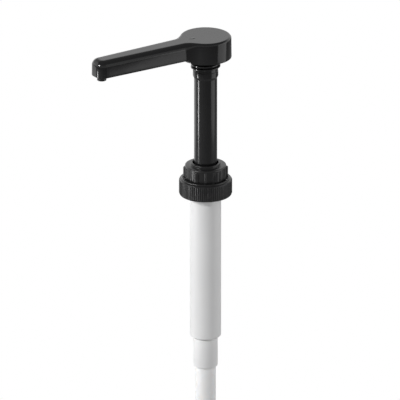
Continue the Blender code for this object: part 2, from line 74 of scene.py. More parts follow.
PAD_STEPS = 56  # steps round half the pad
FLARE_STEPS = 24  # steps round one flare of the arm
ARM_STEPS = 25  # steps along the arm
CORNER_STEPS = 18  # steps round one corner of the spout's end
MARK_STEPS = 48  # steps round the mark
FLOOR_RADIUS = 6.0  # in metres
FAR = 100.0  # how far the camera sees, in metres
PANELS = (  # name, sides in degrees to the right of the camera, lower and upper edge, radiance
    ("strip", (-80, -71), (-290, -110), 13.0),
    ("left_card", (-165, -105), (-290, 300), 0.85),
    ("right_card", (57, 104), (-290, 300), 1.0),
)
LOG = logging.getLogger("condiment_pump")

Profile = list[tuple[float, float]]
Corner = tuple[float, float, float]
Colour = tuple[float, float, float]
# How many, lowest and highest point, half width, half depth, and where the first one stands.
Feature = tuple[int, float, float, float, float, float]


class Body(Enum):
    """The rigid bodies that pieces ride on."""

    ROOT = "root"
    CLOSURE = "closure"
    PLUNGER = "plunger"
    HEAD = "head"
    OUTLET = "outlet_check"
    INLET = "inlet_check"


class Slot(Enum):
    """The record's material slots."""

    BLACK_GLOSS = "black_gloss"
    BLACK_SATIN = "black_satin"
    WHITE = "white_plastic"
    TUBE = "natural_tube"
    RUBBER = "seal_rubber"
    STEEL = "stainless"


class TreeKind(Enum):
    """The kinds of node group that this script builds."""

    SHADER = "ShaderNodeTree"
    GEOMETRY = "GeometryNodeTree"


# ---------------------------------------------------------------- node trees


class Tree:
    """A node tree under construction, with short ways to add sockets, nodes and links."""

    def __init__(self, tree: bpy.types.NodeTree) -> None:
        """Wraps a node tree."""
        self.tree = tree
        self.entry: bpy.types.Node | None = None
        self.exit: bpy.types.Node | None = None

    @classmethod
    def group(cls, name: str, kind: TreeKind) -> "Tree":
        """Starts a node group of a kind, with its input and output nodes."""
        made = cls(bpy.data.node_groups.new(name, kind.value))
        made.entry = made.tree.nodes.new("NodeGroupInput")
        made.exit = made.tree.nodes.new("NodeGroupOutput")
        return made

    def takes(self, **inputs: Any) -> list[bpy.types.NodeSocket]:
        """Adds named inputs.

        Args:
            inputs: by name, with _ for a space, its value where nothing is linked, or a string that
                gives its socket's short type and leaves it without a value.

        Returns:
            The sockets that give the inputs inside the group, in the same order.
        """
        kinds = {float: "Float", int: "Int", tuple: "Color"}
        names = [key.replace("_", " ") for key in inputs]
        for name, value in zip(names, inputs.values()):
            short = value if isinstance(value, str) else kinds[type(value)]
            item = self.tree.interface.new_socket(name, in_out="INPUT", socket_type=f"NodeSocket{short}")
            if not isinstance(value, str):
                item.default_value = value
        return [self.entry.outputs[name] for name in names]

    def gives(self, name: str, kind: str, source: bpy.types.NodeSocket) -> None:
        """Adds a named output of a socket's short type, fed by a source."""
        self.tree.interface.new_socket(name, in_out="OUTPUT", socket_type=f"NodeSocket{kind}")
        self.tree.links.new(source, self.exit.inputs[name])

    def feed(self, node: bpy.types.Node, inputs: dict[Any, Any]) -> None:
        """Sets or links a node's inputs.

        Args:
            node: the node.
            inputs: values or sockets, by the input's name or number.
        """
        for key, value in inputs.items():
            if isinstance(value, bpy.types.NodeSocket):
                self.tree.links.new(value, node.inputs[key])
            else:
                node.inputs[key].default_value = value

    def add(self, kind: str, inputs: dict[Any, Any] | None = None, **settings: Any) -> bpy.types.Node:
        """Adds a node.

        Args:
            kind: the node's type.
            inputs: values or sockets for its inputs, by name or number.
            settings: the node's own properties.

        Returns:
            The new node.
        """
        node = self.tree.nodes.new(kind)
        for name, value in settings.items():
            setattr(node, name, value)
        self.feed(node, inputs or {})
        return node

    def out(self, kind: str, inputs: dict[Any, Any] | None = None, **settings: Any) -> bpy.types.NodeSocket:
        """Adds a node as add() does, and returns its first output."""
        return self.add(kind, inputs, **settings).outputs[0]

    def math(self, operation: str, *values: Any, clamp: bool = False) -> bpy.types.NodeSocket:
        """Adds a Math node.

        Args:
            operation: what it works out.
            values: its operands, numbers or sockets.
            clamp: whether its result stays from 0 to 1.

        Returns:
            The socket with its result.
        """
        return self.out("ShaderNodeMath", dict(enumerate(values)), operation=operation, use_clamp=clamp)

    def ramp(self, value: Any, low: float, high: float, to_low: float = 0.0, to_high: float = 1.0) -> Any:
        """Maps the range low to high to the range to_low to to_high, smoothly and within its ends."""
        inputs = {0: value, 1: low, 2: high, 3: to_low, 4: to_high}
        return self.out("ShaderNodeMapRange", inputs, interpolation_type="SMOOTHSTEP")

    def noise(self, place: Any, scale: Any, detail: float, roughness: float = 0.5) -> bpy.types.NodeSocket:
        """Adds a noise texture.

        Args:
            place: the coordinate that it reads.
            scale: how fine it is, in features a metre.
            detail: how many finer layers it has.
            roughness: how strong they are.

        Returns:
            The socket with its value.
        """
        inputs = {"Vector": place, "Scale": scale, "Detail": detail, "Roughness": roughness}
        return self.out("ShaderNodeTexNoise", inputs)

    def vector(self, **parts: Any) -> bpy.types.NodeSocket:
        """A vector from its X, Y and Z, numbers or sockets, each 0 unless given."""
        return self.out("ShaderNodeCombineXYZ", parts)

    def mix(self, share: Any, first: Any, second: Any) -> bpy.types.NodeSocket:
        """Mixes a share of the second colour into the first."""
        node = self.add("ShaderNodeMix", {"Factor": share}, data_type="RGBA")
        self.feed(node, {6: first, 7: second})
        return node.outputs[2]


# ---------------------------------------------------------------- finishes


class Effects:
    """The shader groups that the finishes share."""

    def __init__(self) -> None:
        """Builds each group once."""
        self.grain = self._grain()
        self.handling = self._handling()
        self.tint = self._tint()

    @staticmethod
    def _grain() -> bpy.types.NodeTree:
        """Fine moulded grain with slow sink marks, as a height."""
        group = Tree.group("moulded_grain", TreeKind.SHADER)
        place, fineness, waviness = group.takes(Place="Vector", Fineness=2500.0, Waviness=0.3)
        fine = group.noise(place, fineness, 3.0, 0.6)
        slow = group.noise(place, 55.0, 1.0)
        group.gives("Height", "Float", group.math("ADD", fine, group.math("MULTIPLY", slow, waviness)))
        return group.tree

    @staticmethod
    def _handling() -> bpy.types.NodeTree:
        """Faint smears and fine scratches along the height, as a roughness and a scratch mask."""
        group = Tree.group("handling_marks", TreeKind.SHADER)
        place, roughness, smears, scratches = group.takes(
            Place="Vector", Roughness=0.3, Smears=0.06, Scratches=0.1
        )
        cloud = group.ramp(group.noise(place, 70.0, 4.0, 0.62), 0.42, 0.68)
        drawn_out = group.out("ShaderNodeMapping", {"Vector": place, "Scale": (2600.0, 2600.0, 38.0)})
        lines = group.ramp(group.noise(drawn_out, 1.0, 2.0), 0.66, 0.76)
        broken = group.math("MULTIPLY", lines, group.ramp(group.noise(place, 120.0, 2.0), 0.45, 0.6))
        marked = group.math("MULTIPLY", broken, scratches)
        smeared = group.math("MULTIPLY_ADD", cloud, smears, roughness)
        group.gives("Roughness", "Float", group.math("ADD", smeared, marked, clamp=True))
        group.gives("Scratches", "Float", marked)
        return group.tree

    @staticmethod
    def _tint() -> bpy.types.NodeTree:
        """The base colour with slow variation, paler worn edges and a little dust that lies on top."""
        group = Tree.group("tint_wear_dust", TreeKind.SHADER)
        place, colour, worn, wear, variation, dust = group.takes(
            Place="Vector",
            Colour=(0.5, 0.5, 0.5, 1.0),
            Worn_Colour=(0.6, 0.6, 0.6, 1.0),
            Wear=0.2,
            Variation=0.06,
            Dust=0.05,
        )
        slow = group.ramp(group.noise(place, 34.0, 3.0), 0.3, 0.7, -1.0, 1.0)
        level = group.math("MULTIPLY_ADD", slow, variation, 1.0)
        varied = group.out("ShaderNodeVectorMath", {0: colour, "Scale": level}, operation="SCALE")
        geometry = group.add("ShaderNodeNewGeometry")
        edge = group.ramp(geometry.outputs["Pointiness"], 0.52, 0.60)
        patchy = group.ramp(group.noise(place, 260.0, 4.0, 0.65), 0.40, 0.62)
        worn_share = group.math("MULTIPLY", group.math("MULTIPLY", edge, patchy), wear)
        edged = group.mix(worn_share, varied, worn)
        up = group.add("ShaderNodeSeparateXYZ", {0: geometry.outputs["Normal"]}).outputs["Z"]
        specks = group.ramp(group.noise(place, 1500.0, 2.0, 0.7), 0.60, 0.72)
        settled = group.math("MULTIPLY", group.math("MULTIPLY", group.ramp(up, 0.3, 0.95), specks), dust)
        group.gives("Colour", "Color", group.mix(settled, edged, DUST))
        return group.tree


def eased(share: float) -> float:
    """Eases a share from 0 to 1 in and out."""
    return share * share * (3 - 2 * share)


def grey(level: float) -> Colour:
    """A neutral colour, linear."""
    return (level, level, level)


@dataclass(frozen=True)
class Finish:
    """A moulded, rubber or metal finish, with its detail at its real scale.

    Attributes:
        name: the material's name.
        slot: the record's slot that it stands for; not used.
        colour: base colour, linear.
        worn: the colour of its worn edges.
        roughness: how dull it is.
        metallic: 1 for metal.
        ior: its index of refraction.
        subsurface: how much light goes into it.
        depth: how far light goes into it, in millimetres.
        fineness: grain features a metre.
        grain_depth: how deep the grain is, in millimetres.
        waviness: share of slow sink marks in it.
        smears: how much handling dulls it.
        scratches: how strong the scratches along its length are.
        wear: how much its edges are worn.
        variation: how much its colour varies.
        dust: how much dust lies on it.
    """

    name: str
    slot: Slot
    colour: Colour
    worn: Colour
    roughness: float
    metallic: float = 0.0
    ior: float = 1.49
    subsurface: float = 0.0
    depth: float = 1.2
    fineness: float = 2400.0
    grain_depth: float = 0.004
    waviness: float = 0.35
    smears: float = 0.06
    scratches: float = 0.10
    wear: float = 0.2
    variation: float = 0.05
    dust: float = 0.04

    def build(self, effects: Effects) -> bpy.types.Material:
        """Makes the node material from the shared shader groups."""
        material = bpy.data.materials.new(self.name)
        material.use_nodes = True
        material.diffuse_color = (*self.colour, 1.0)
        tree = Tree(material.node_tree)
        place = tree.add("ShaderNodeTexCoord").outputs["Object"]
        tints = {
            "Place": place,
            "Colour": (*self.colour, 1.0),
            "Worn Colour": (*self.worn, 1.0),
            "Wear": self.wear,
            "Variation": self.variation,
            "Dust": self.dust,
        }
        marks = {
            "Place": place,
            "Roughness": self.roughness,
            "Smears": self.smears,
            "Scratches": self.scratches,
        }
        surface = {"Place": place, "Fineness": self.fineness, "Waviness": self.waviness}
        tint = tree.add("ShaderNodeGroup", tints, node_tree=effects.tint)
        handling = tree.add("ShaderNodeGroup", marks, node_tree=effects.handling)
        grain = tree.add("ShaderNodeGroup", surface, node_tree=effects.grain)
        height = tree.math("SUBTRACT", grain.outputs["Height"], handling.outputs["Scratches"])
        relief = {"Height": height, "Distance": self.grain_depth * MM, "Strength": 1.0}
        sockets = {
            "Base Color": tint.outputs["Colour"],
            "Roughness": handling.outputs["Roughness"],
            "Normal": tree.out("ShaderNodeBump", relief),
            "Metallic": self.metallic,
            "IOR": self.ior,
            "Subsurface Weight": self.subsurface,
            "Subsurface Radius": SCATTER,
            "Subsurface Scale": self.depth * MM,
        }
        tree.feed(material.node_tree.nodes["Principled BSDF"], sockets)
        return material


GLOSS_BLACK = Finish(
    "gloss_black_polypropylene",
    Slot.BLACK_GLOSS,
    colour=(0.0085, 0.0085, 0.009),
    worn=grey(0.07),
    roughness=0.11,
    grain_depth=0.0012,
    smears=0.05,
    scratches=0.05,
)
STEM_BLACK = Finish(
    "stem_black_polypropylene",
    Slot.BLACK_GLOSS,
    colour=(0.009, 0.009, 0.0095),
    worn=grey(0.07),
    roughness=0.12,
    grain_depth=0.001,
    scratches=0.12,
    dust=0.02,
)
SATIN_BLACK = Finish(
    "satin_black_polypropylene",
    Slot.BLACK_SATIN,
    colour=(0.011, 0.011, 0.0115),
    worn=grey(0.09),
    roughness=0.30,
    grain_depth=0.006,
    wear=0.4,
)
WHITE_MOULDED = Finish(
    "white_moulded_polypropylene",
    Slot.WHITE,
    colour=grey(0.835),
    worn=(0.87, 0.87, 0.865),
    roughness=0.34,
    subsurface=0.2,
    depth=3.0,
    variation=0.012,
    dust=0.0,
    scratches=0.06,
)
NATURAL_TUBE = Finish(
    "natural_polyethylene_tube",
    Slot.TUBE,
    colour=grey(0.96),
    worn=grey(0.97),
    roughness=0.26,
    subsurface=1.0,
    depth=0.8,
    grain_depth=0.005,
    waviness=0.8,
    variation=0.02,
    dust=0.0,
    scratches=0.06,
    wear=0.0,
)
SEAL_RUBBER = Finish(
    "seal_rubber_black",
    Slot.RUBBER,
    colour=(0.035, 0.035, 0.037),
    worn=grey(0.09),
    roughness=0.62,
    grain_depth=0.01,
    fineness=3600.0,
)
STAINLESS = Finish(
    "drawn_stainless_steel",
    Slot.STEEL,
    colour=(0.62, 0.62, 0.61),
    worn=(0.75, 0.75, 0.74),
    roughness=0.20,
    metallic=1.0,
    grain_depth=0.003,
    scratches=0.25,
    dust=0.0,
)


# ---------------------------------------------------------------- meshes


def rounded(corners: Sequence[Corner], closed: bool = True, steps: int = 5) -> Profile:
    """Rounds the corners of a profile.

    Args:
        corners: (radius, height, fillet) of each corner.
        closed: whether the last corner joins the first.
        steps: points on each fillet.

    Returns:
        The profile's (radius, height) points.
    """
    points: Profile = []
    for i, (x, y, fillet) in enumerate(corners):
        here = Vector((x, y))
        at_end = not closed and i in (0, len(corners) - 1)
        if fillet <= 0 or at_end:
            points.append((x, y))
            continue
        before = Vector(corners[i - 1][:2]) - here
        after = Vector(corners[(i + 1) % len(corners)][:2]) - here
        half = before.angle(after) / 2
        back = min(fillet / math.tan(half), before.length * 0.48, after.length * 0.48)
        centre = here + (before.normalized() + after.normalized()).normalized() * back / math.cos(half)
        first, last = here + before.normalized() * back, here + after.normalized() * back
        start, sweep = first - centre, (first - centre).angle_signed(last - centre)
        for step in range(steps + 1):
            turn = -sweep * step / steps
            cos, sin = math.cos(turn), math.sin(turn)
            x_turned = centre.x + start.x * cos - start.y * sin
            y_turned = centre.y + start.x * sin + start.y * cos
            points.append((x_turned, y_turned))
    return points


def linked(name: str, mesh: bpy.types.Mesh) -> bpy.types.Object:
    """Links a mesh as an object, shaded smooth with sharp edges where it turns hard."""
    obj = bpy.data.objects.new(name, mesh)
    bpy.context.scene.collection.objects.link(obj)
    mesh.shade_smooth()
    mesh.set_sharp_from_angle(angle=SHARP)
    return obj


def mesh_object(name: str, bm: bmesh.types.BMesh) -> bpy.types.Object:
    """Makes a closed bmesh a linked object with its faces pointing out, and frees the bmesh."""
    if bm.calc_volume(signed=True) < 0:
        bmesh.ops.reverse_faces(bm, faces=bm.faces)
    mesh = bpy.data.meshes.new(name)
    bm.to_mesh(mesh)
    bm.free()
    return linked(name, mesh)


def scaled(point: Sequence[float]) -> Vector:
    """A point in millimetres as a vector in metres."""
    return Vector(point) * MM


def bridge(bm: bmesh.types.BMesh, first: list[Any], second: list[Any]) -> None:
    """Joins two rings of vertices of the same size with quads."""
    for i, vertex in enumerate(first):
        after = (i + 1) % len(first)
        bm.faces.new((vertex, second[i], second[after], first[after]))


def fan(bm: bmesh.types.BMesh, first: list[Any], second: list[Any]) -> None:
    """Joins a ring and a point on the axis with triangles."""
    point, ring = (first[0], second) if len(first) == 1 else (second[0], first)
    for i, vertex in enumerate(ring):
        after = ring[(i + 1) % len(ring)]
        bm.faces.new((point, vertex, after) if len(first) == 1 else (point, after, vertex))


def lathe(name: str, profile: Profile, steps: int = FINE_STEPS) -> bpy.types.Object:
    """Turns a profile about Z.

    Args:
        name: the object's name.
        profile: (radius, height) points, out along the top and down the outer side. It is a closed
            loop for a ring, and starts and ends on the axis for a solid piece.
        steps: steps round the turn.

    Returns:
        The turned object.
    """
    bm = bmesh.new()
    turns = [math.tau * i / steps for i in range(steps)]
    rings = []
    for radius, height in profile:
        places = [(0, 0, height)]
        if radius >= ON_AXIS:
            places = [(radius * math.cos(a), radius * math.sin(a), height) for a in turns]
        rings.append([bm.verts.new(scaled(place)) for place in places])
    closed = profile[0][0] > ON_AXIS
    pairs = list(zip(rings, rings[1:])) + ([(rings[-1], rings[0])] if closed else [])
    for first, second in pairs:
        join = bridge if len(first) == len(second) else fan
        join(bm, first, second)
    return mesh_object(name, bm)


def turned(name: str, corners: Sequence[Corner], steps: int = FINE_STEPS) -> bpy.types.Object:
    """Turns a closed profile, given by its corners, about Z."""
    return lathe(name, rounded(corners), steps)


def band(inner: float, outer: float, top: float, bottom: float, fillet: float = 0.2) -> list[Corner]:
    """The corners of a flat ring's section, from its inner top corner."""
    places = ((inner, top), (outer, top), (outer, bottom), (inner, bottom))
    return [(radius, height, fillet) for radius, height in places]


def groove(edge: float, centre: float) -> list[Corner]:
    """The corners of a sealing ring's groove in a profile, on the way down its outer side.

    Args:
        edge: the radius that the groove is cut into.
        centre: the height of its middle.

    Returns:
        Its four corners.
    """
    floor, half, fillet = 9.0, 1.2, 0.15
    places = ((edge, centre + half), (floor, centre + half), (floor, centre - half), (edge, centre - half))
    return [(radius, height, fillet) for radius, height in places]


def loft(name: str, rings: Sequence[Sequence[Sequence[float]]]) -> bpy.types.Object:
    """A closed skin through rings of points, capped at both ends.

    Args:
        name: the object's name.
        rings: loops of the same number of points, in millimetres.

    Returns:
        The skinned object.
    """
    bm = bmesh.new()
    loops = [[bm.verts.new(scaled(point)) for point in ring] for ring in rings]
    for first, second in zip(loops, loops[1:]):
        bridge(bm, first, second)
    bm.faces.new(loops[0])
    bm.faces.new(list(reversed(loops[-1])))
    return mesh_object(name, bm)


def settle(obj: bpy.types.Object) -> None:
    """Turns an object's modifiers into its plain mesh, and removes them."""
    graph = bpy.context.evaluated_depsgraph_get()
    graph.update()
    mesh = bpy.data.meshes.new_from_object(obj.evaluated_get(graph))
    obj.modifiers.clear()
    obj.data = mesh
    mesh.name = obj.name


def boolean(target: bpy.types.Object, tool: bpy.types.Object, operation: str) -> None:
    """Cuts a tool out of a target or joins it on, and removes the tool.

    Args:
        target: the object that changes.
        tool: the other object.
        operation: UNION or DIFFERENCE.
    """
    change = target.modifiers.new("shape", "BOOLEAN")
    change.object = tool
    change.operation = operation
    change.solver = "EXACT"
    settle(target)
    bpy.data.objects.remove(tool, do_unlink=True)


def cylinder(name: str, radius: float, start: Sequence[float], end: Sequence[float]) -> bpy.types.Object:
    """A plain cylinder between two points, as a tool for a Boolean."""
    way = Vector(end) - Vector(start)
    side = way.orthogonal().normalized()
    across = way.normalized().cross(side)
    turns = [math.tau * i / INNER_STEPS for i in range(INNER_STEPS)]
    rings = []
    for centre in (Vector(start), Vector(end)):
        rings.append([centre + (side * math.cos(a) + across * math.sin(a)) * radius for a in turns])
    return loft(name, rings)


# ---------------------------------------------------------------- repeated features


class GeometryTrees:
    """The Geometry Nodes trees for what repeats or follows a path."""

    def __init__(self) -> None:
        """Builds each tree once."""
        self.ribs = self._ribs()
        self.thread = self._thread()
        self.coil = self._coil()

    @staticmethod
    def _finish(tree: Tree, parts: list[Any], material: bpy.types.NodeSocket) -> bpy.types.NodeTree:
        """Joins a tree's parts, makes instances real, sets the material and puts the result out."""
        joined = tree.add("GeometryNodeJoinGeometry")
        for part in parts:
            tree.tree.links.new(part, joined.inputs[0])
        real = tree.out("GeometryNodeRealizeInstances", {0: joined.outputs[0]})
        dressed = tree.out("GeometryNodeSetMaterial", {0: real, "Material": material})
        tree.gives("Geometry", "Geometry", dressed)
        return tree.tree

    @staticmethod
    def _sweep(tree: Tree, curve: Any, section: Any, girth: Any = None) -> bpy.types.NodeSocket:
        """Sweeps a section along a curve with closed ends, scaled by its girth if that is given."""
        inputs = {"Curve": curve, "Profile Curve": section, "Fill Caps": True}
        if girth is not None:
            inputs["Scale"] = girth
        return tree.out("GeometryNodeCurveToMesh", inputs)

    @staticmethod
    def _helix(tree: Tree, steps: int, turns: Any, radius: Any, height: Any) -> bpy.types.NodeSocket:
        """A right-handed helix with some steps in each turn."""
        inputs = {
            "Resolution": steps,
            "Rotations": turns,
            "Start Radius": radius,
            "End Radius": radius,
            "Height": height,
            "Reverse": True,
        }
        return tree.out("GeometryNodeCurveSpiral", inputs)

    @classmethod
    def _ribs(cls) -> bpy.types.NodeTree:
        """Upright ribs with rounded ends round a ring, added to the base mesh."""
        tree = Tree.group("upright_ribs", TreeKind.GEOMETRY)
        base, count, ring, low, high, width, depth, bluntness, phase, material = tree.takes(
            Geometry="Geometry",
            Count=80,
            Ring_Radius=0.02,
            Low=0.0,
            High=0.01,
            Half_Width=0.0005,
            Half_Depth=0.0005,
            Bluntness=24.0,
            Phase=0.0,
            Material="Material",
        )
        ends = {"Start": tree.vector(Z=low), "End": tree.vector(Z=high)}
        line = tree.out("GeometryNodeCurvePrimitiveLine", ends)
        cut = tree.out("GeometryNodeResampleCurve", {"Curve": line, "Count": 32})
        along = tree.add("GeometryNodeSplineParameter").outputs["Factor"]
        middle = tree.math("ABSOLUTE", tree.math("MULTIPLY_ADD", along, 2.0, -1.0))
        narrowed = tree.math("SUBTRACT", 1.0, tree.math("POWER", middle, bluntness))
        girth = tree.math("MAXIMUM", tree.math("SQRT", narrowed), 0.04)
        section = tree.out("GeometryNodeCurvePrimitiveCircle", {"Resolution": 10, "Radius": 1.0})
        flattening = tree.vector(X=depth, Y=width, Z=1.0)
        oval = tree.out("GeometryNodeTransform", {0: section, "Scale": flattening})
        bar = cls._sweep(tree, cut, oval, girth)
        points = tree.out("GeometryNodeMeshCircle", {"Vertices": count, "Radius": ring})
        share = tree.math("DIVIDE", tree.out("GeometryNodeInputIndex"), count)
        facing = tree.vector(Z=tree.math("MULTIPLY", share, math.tau))
        spread = {"Points": points, "Instance": bar, "Rotation": facing}
        placed = tree.out("GeometryNodeInstanceOnPoints", spread)
        started = tree.out("GeometryNodeTransform", {0: placed, "Rotation": tree.vector(Z=phase)})
        return cls._finish(tree, [base, started], material)

    @classmethod
    def _thread(cls) -> bpy.types.NodeTree:
        """A right-handed helical ridge that fades in and out, added to the base mesh."""
        tree = Tree.group("thread_ridge", TreeKind.GEOMETRY)
        base, radius, turns, pitch, low, phase, depth, foot, crest, inward, material = tree.takes(
            Geometry="Geometry",
            Radius=0.011,
            Turns=2.0,
            Pitch=0.0026,
            Low=0.0,
            Phase=0.0,
            Depth=0.0014,
            Foot_Width=0.0016,
            Crest_Width=0.0005,
            Inward=0.0,
            Material="Material",
        )
        helix = cls._helix(tree, 64, turns, radius, tree.math("MULTIPLY", turns, pitch))
        level = tree.out("GeometryNodeSetCurveNormal", {0: helix}, mode="Z_UP")
        sizes = {"Height": depth, "Bottom Width": foot, "Top Width": crest, "Offset": 0.0}
        section = tree.out("GeometryNodeCurvePrimitiveQuadrilateral", sizes, mode="TRAPEZOID")
        lying = tree.vector(Z=tree.math("MULTIPLY_ADD", inward, math.pi, -math.pi / 2))
        aimed = tree.out("GeometryNodeTransform", {0: section, "Rotation": lying})
        along = tree.add("GeometryNodeSplineParameter").outputs["Factor"]
        fade = tree.math("MULTIPLY", turns, THREAD_FADE)
        start = tree.math("MULTIPLY", along, fade)
        end = tree.math("MULTIPLY", tree.math("SUBTRACT", 1.0, along), fade)
        girth = tree.math("MAXIMUM", tree.math("MINIMUM", start, end, clamp=True), 0.05)
        ridge = cls._sweep(tree, level, aimed, girth)
        move = {0: ridge, "Translation": tree.vector(Z=low), "Rotation": tree.vector(Z=phase)}
        return cls._finish(tree, [base, tree.out("GeometryNodeTransform", move)], material)

    @classmethod
    def _coil(cls) -> bpy.types.NodeTree:
        """A compression spring whose end turns lie flat."""
        tree = Tree.group("compression_coil", TreeKind.GEOMETRY)
        _, radius, turns, low, length, wire, material = tree.takes(
            Geometry="Geometry",
            Radius=0.009,
            Turns=17.0,
            Low=0.0,
            Length=0.1,
            Wire_Radius=0.0006,
            Material="Material",
        )
        flat = cls._helix(tree, 28, turns, radius, 0.0)
        along = tree.add("GeometryNodeSplineParameter").outputs["Factor"]
        closed = tree.math("MULTIPLY", wire, WIRE_CLOSED)
        turn = tree.math("MULTIPLY", along, turns)
        first = tree.math("MINIMUM", turn, 1.0)
        last = tree.math("MAXIMUM", tree.math("SUBTRACT", turn, tree.math("SUBTRACT", turns, 1.0)), 0.0)
        ends = tree.math("MULTIPLY", tree.math("ADD", first, last), closed)
        free = tree.math("SUBTRACT", length, tree.math("MULTIPLY", closed, 2.0))
        middle = tree.math("SUBTRACT", tree.math("SUBTRACT", turn, first), last)
        risen = tree.math("MULTIPLY", free, tree.math("DIVIDE", middle, tree.math("SUBTRACT", turns, 2.0)))
        lift = tree.vector(Z=tree.math("ADD", tree.math("ADD", ends, risen), low))
        shaped = tree.out("GeometryNodeSetPosition", {0: flat, "Offset": lift})
        section = tree.out("GeometryNodeCurvePrimitiveCircle", {"Resolution": 10, "Radius": wire})
        return cls._finish(tree, [cls._sweep(tree, shaped, section)], material)


class Workshop:
    """What every sub-assembly needs: finishes, grown features, and the way to put a piece in place."""

    def __init__(self) -> None:
        """Builds the shared effects and trees."""
        self.effects = Effects()
        self.trees = GeometryTrees()
        self._made: dict[str, bpy.types.Material] = {}

    def material(self, finish: Finish) -> bpy.types.Material:
        """The material of a finish, built the first time that it is asked for."""
        if finish.name not in self._made:
            self._made[finish.name] = finish.build(self.effects)
        return self._made[finish.name]

    def grow(
        self,
        obj: bpy.types.Object,
        tree: bpy.types.NodeTree,
        finish: Finish,
        lengths: dict[str, float],
        others: dict[str, Any],
    ) -> bpy.types.Object:
        """Runs a Geometry Nodes tree on an object and keeps the result as a plain mesh.

        Args:
            obj: the base object.
            tree: the tree.
            finish: the finish that it sets.
            lengths: its inputs in millimetres, by name.
            others: its other inputs, by name.

        Returns:
            The same object, with its new mesh.
        """
        modifier = obj.modifiers.new("grow", "NODES")
        modifier.node_group = tree
        sockets = {i.name: i.identifier for i in tree.interface.items_tree if i.in_out == "INPUT"}
        in_metres = {name: value * MM for name, value in lengths.items()}
        for name, value in {**in_metres, **others, "Material": self.material(finish)}.items():
            modifier[sockets[name]] = value
        settle(obj)
        obj.data.shade_smooth()
        obj.data.set_sharp_from_angle(angle=SHARP)
        return obj

    def place(self, obj: bpy.types.Object, finish: Finish, body: Body, *nodes: str) -> bpy.types.Object:
        """Dresses a piece, and lets it ride and stand for its CAD nodes.

        Args:
            obj: the finished piece.
            finish: its finish.
            body: the body that it moves with.
            nodes: the CAD nodes that it replaces.

        Returns:
            The same piece.
        """
        obj.data.materials.clear()
        obj.data.materials.append(self.material(finish))
        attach(obj, body.value)
        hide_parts(*nodes)
        LOG.info("%s: %d faces on %s", obj.name, len(obj.data.polygons), body.value)
        return obj


# ---------------------------------------------------------------- head


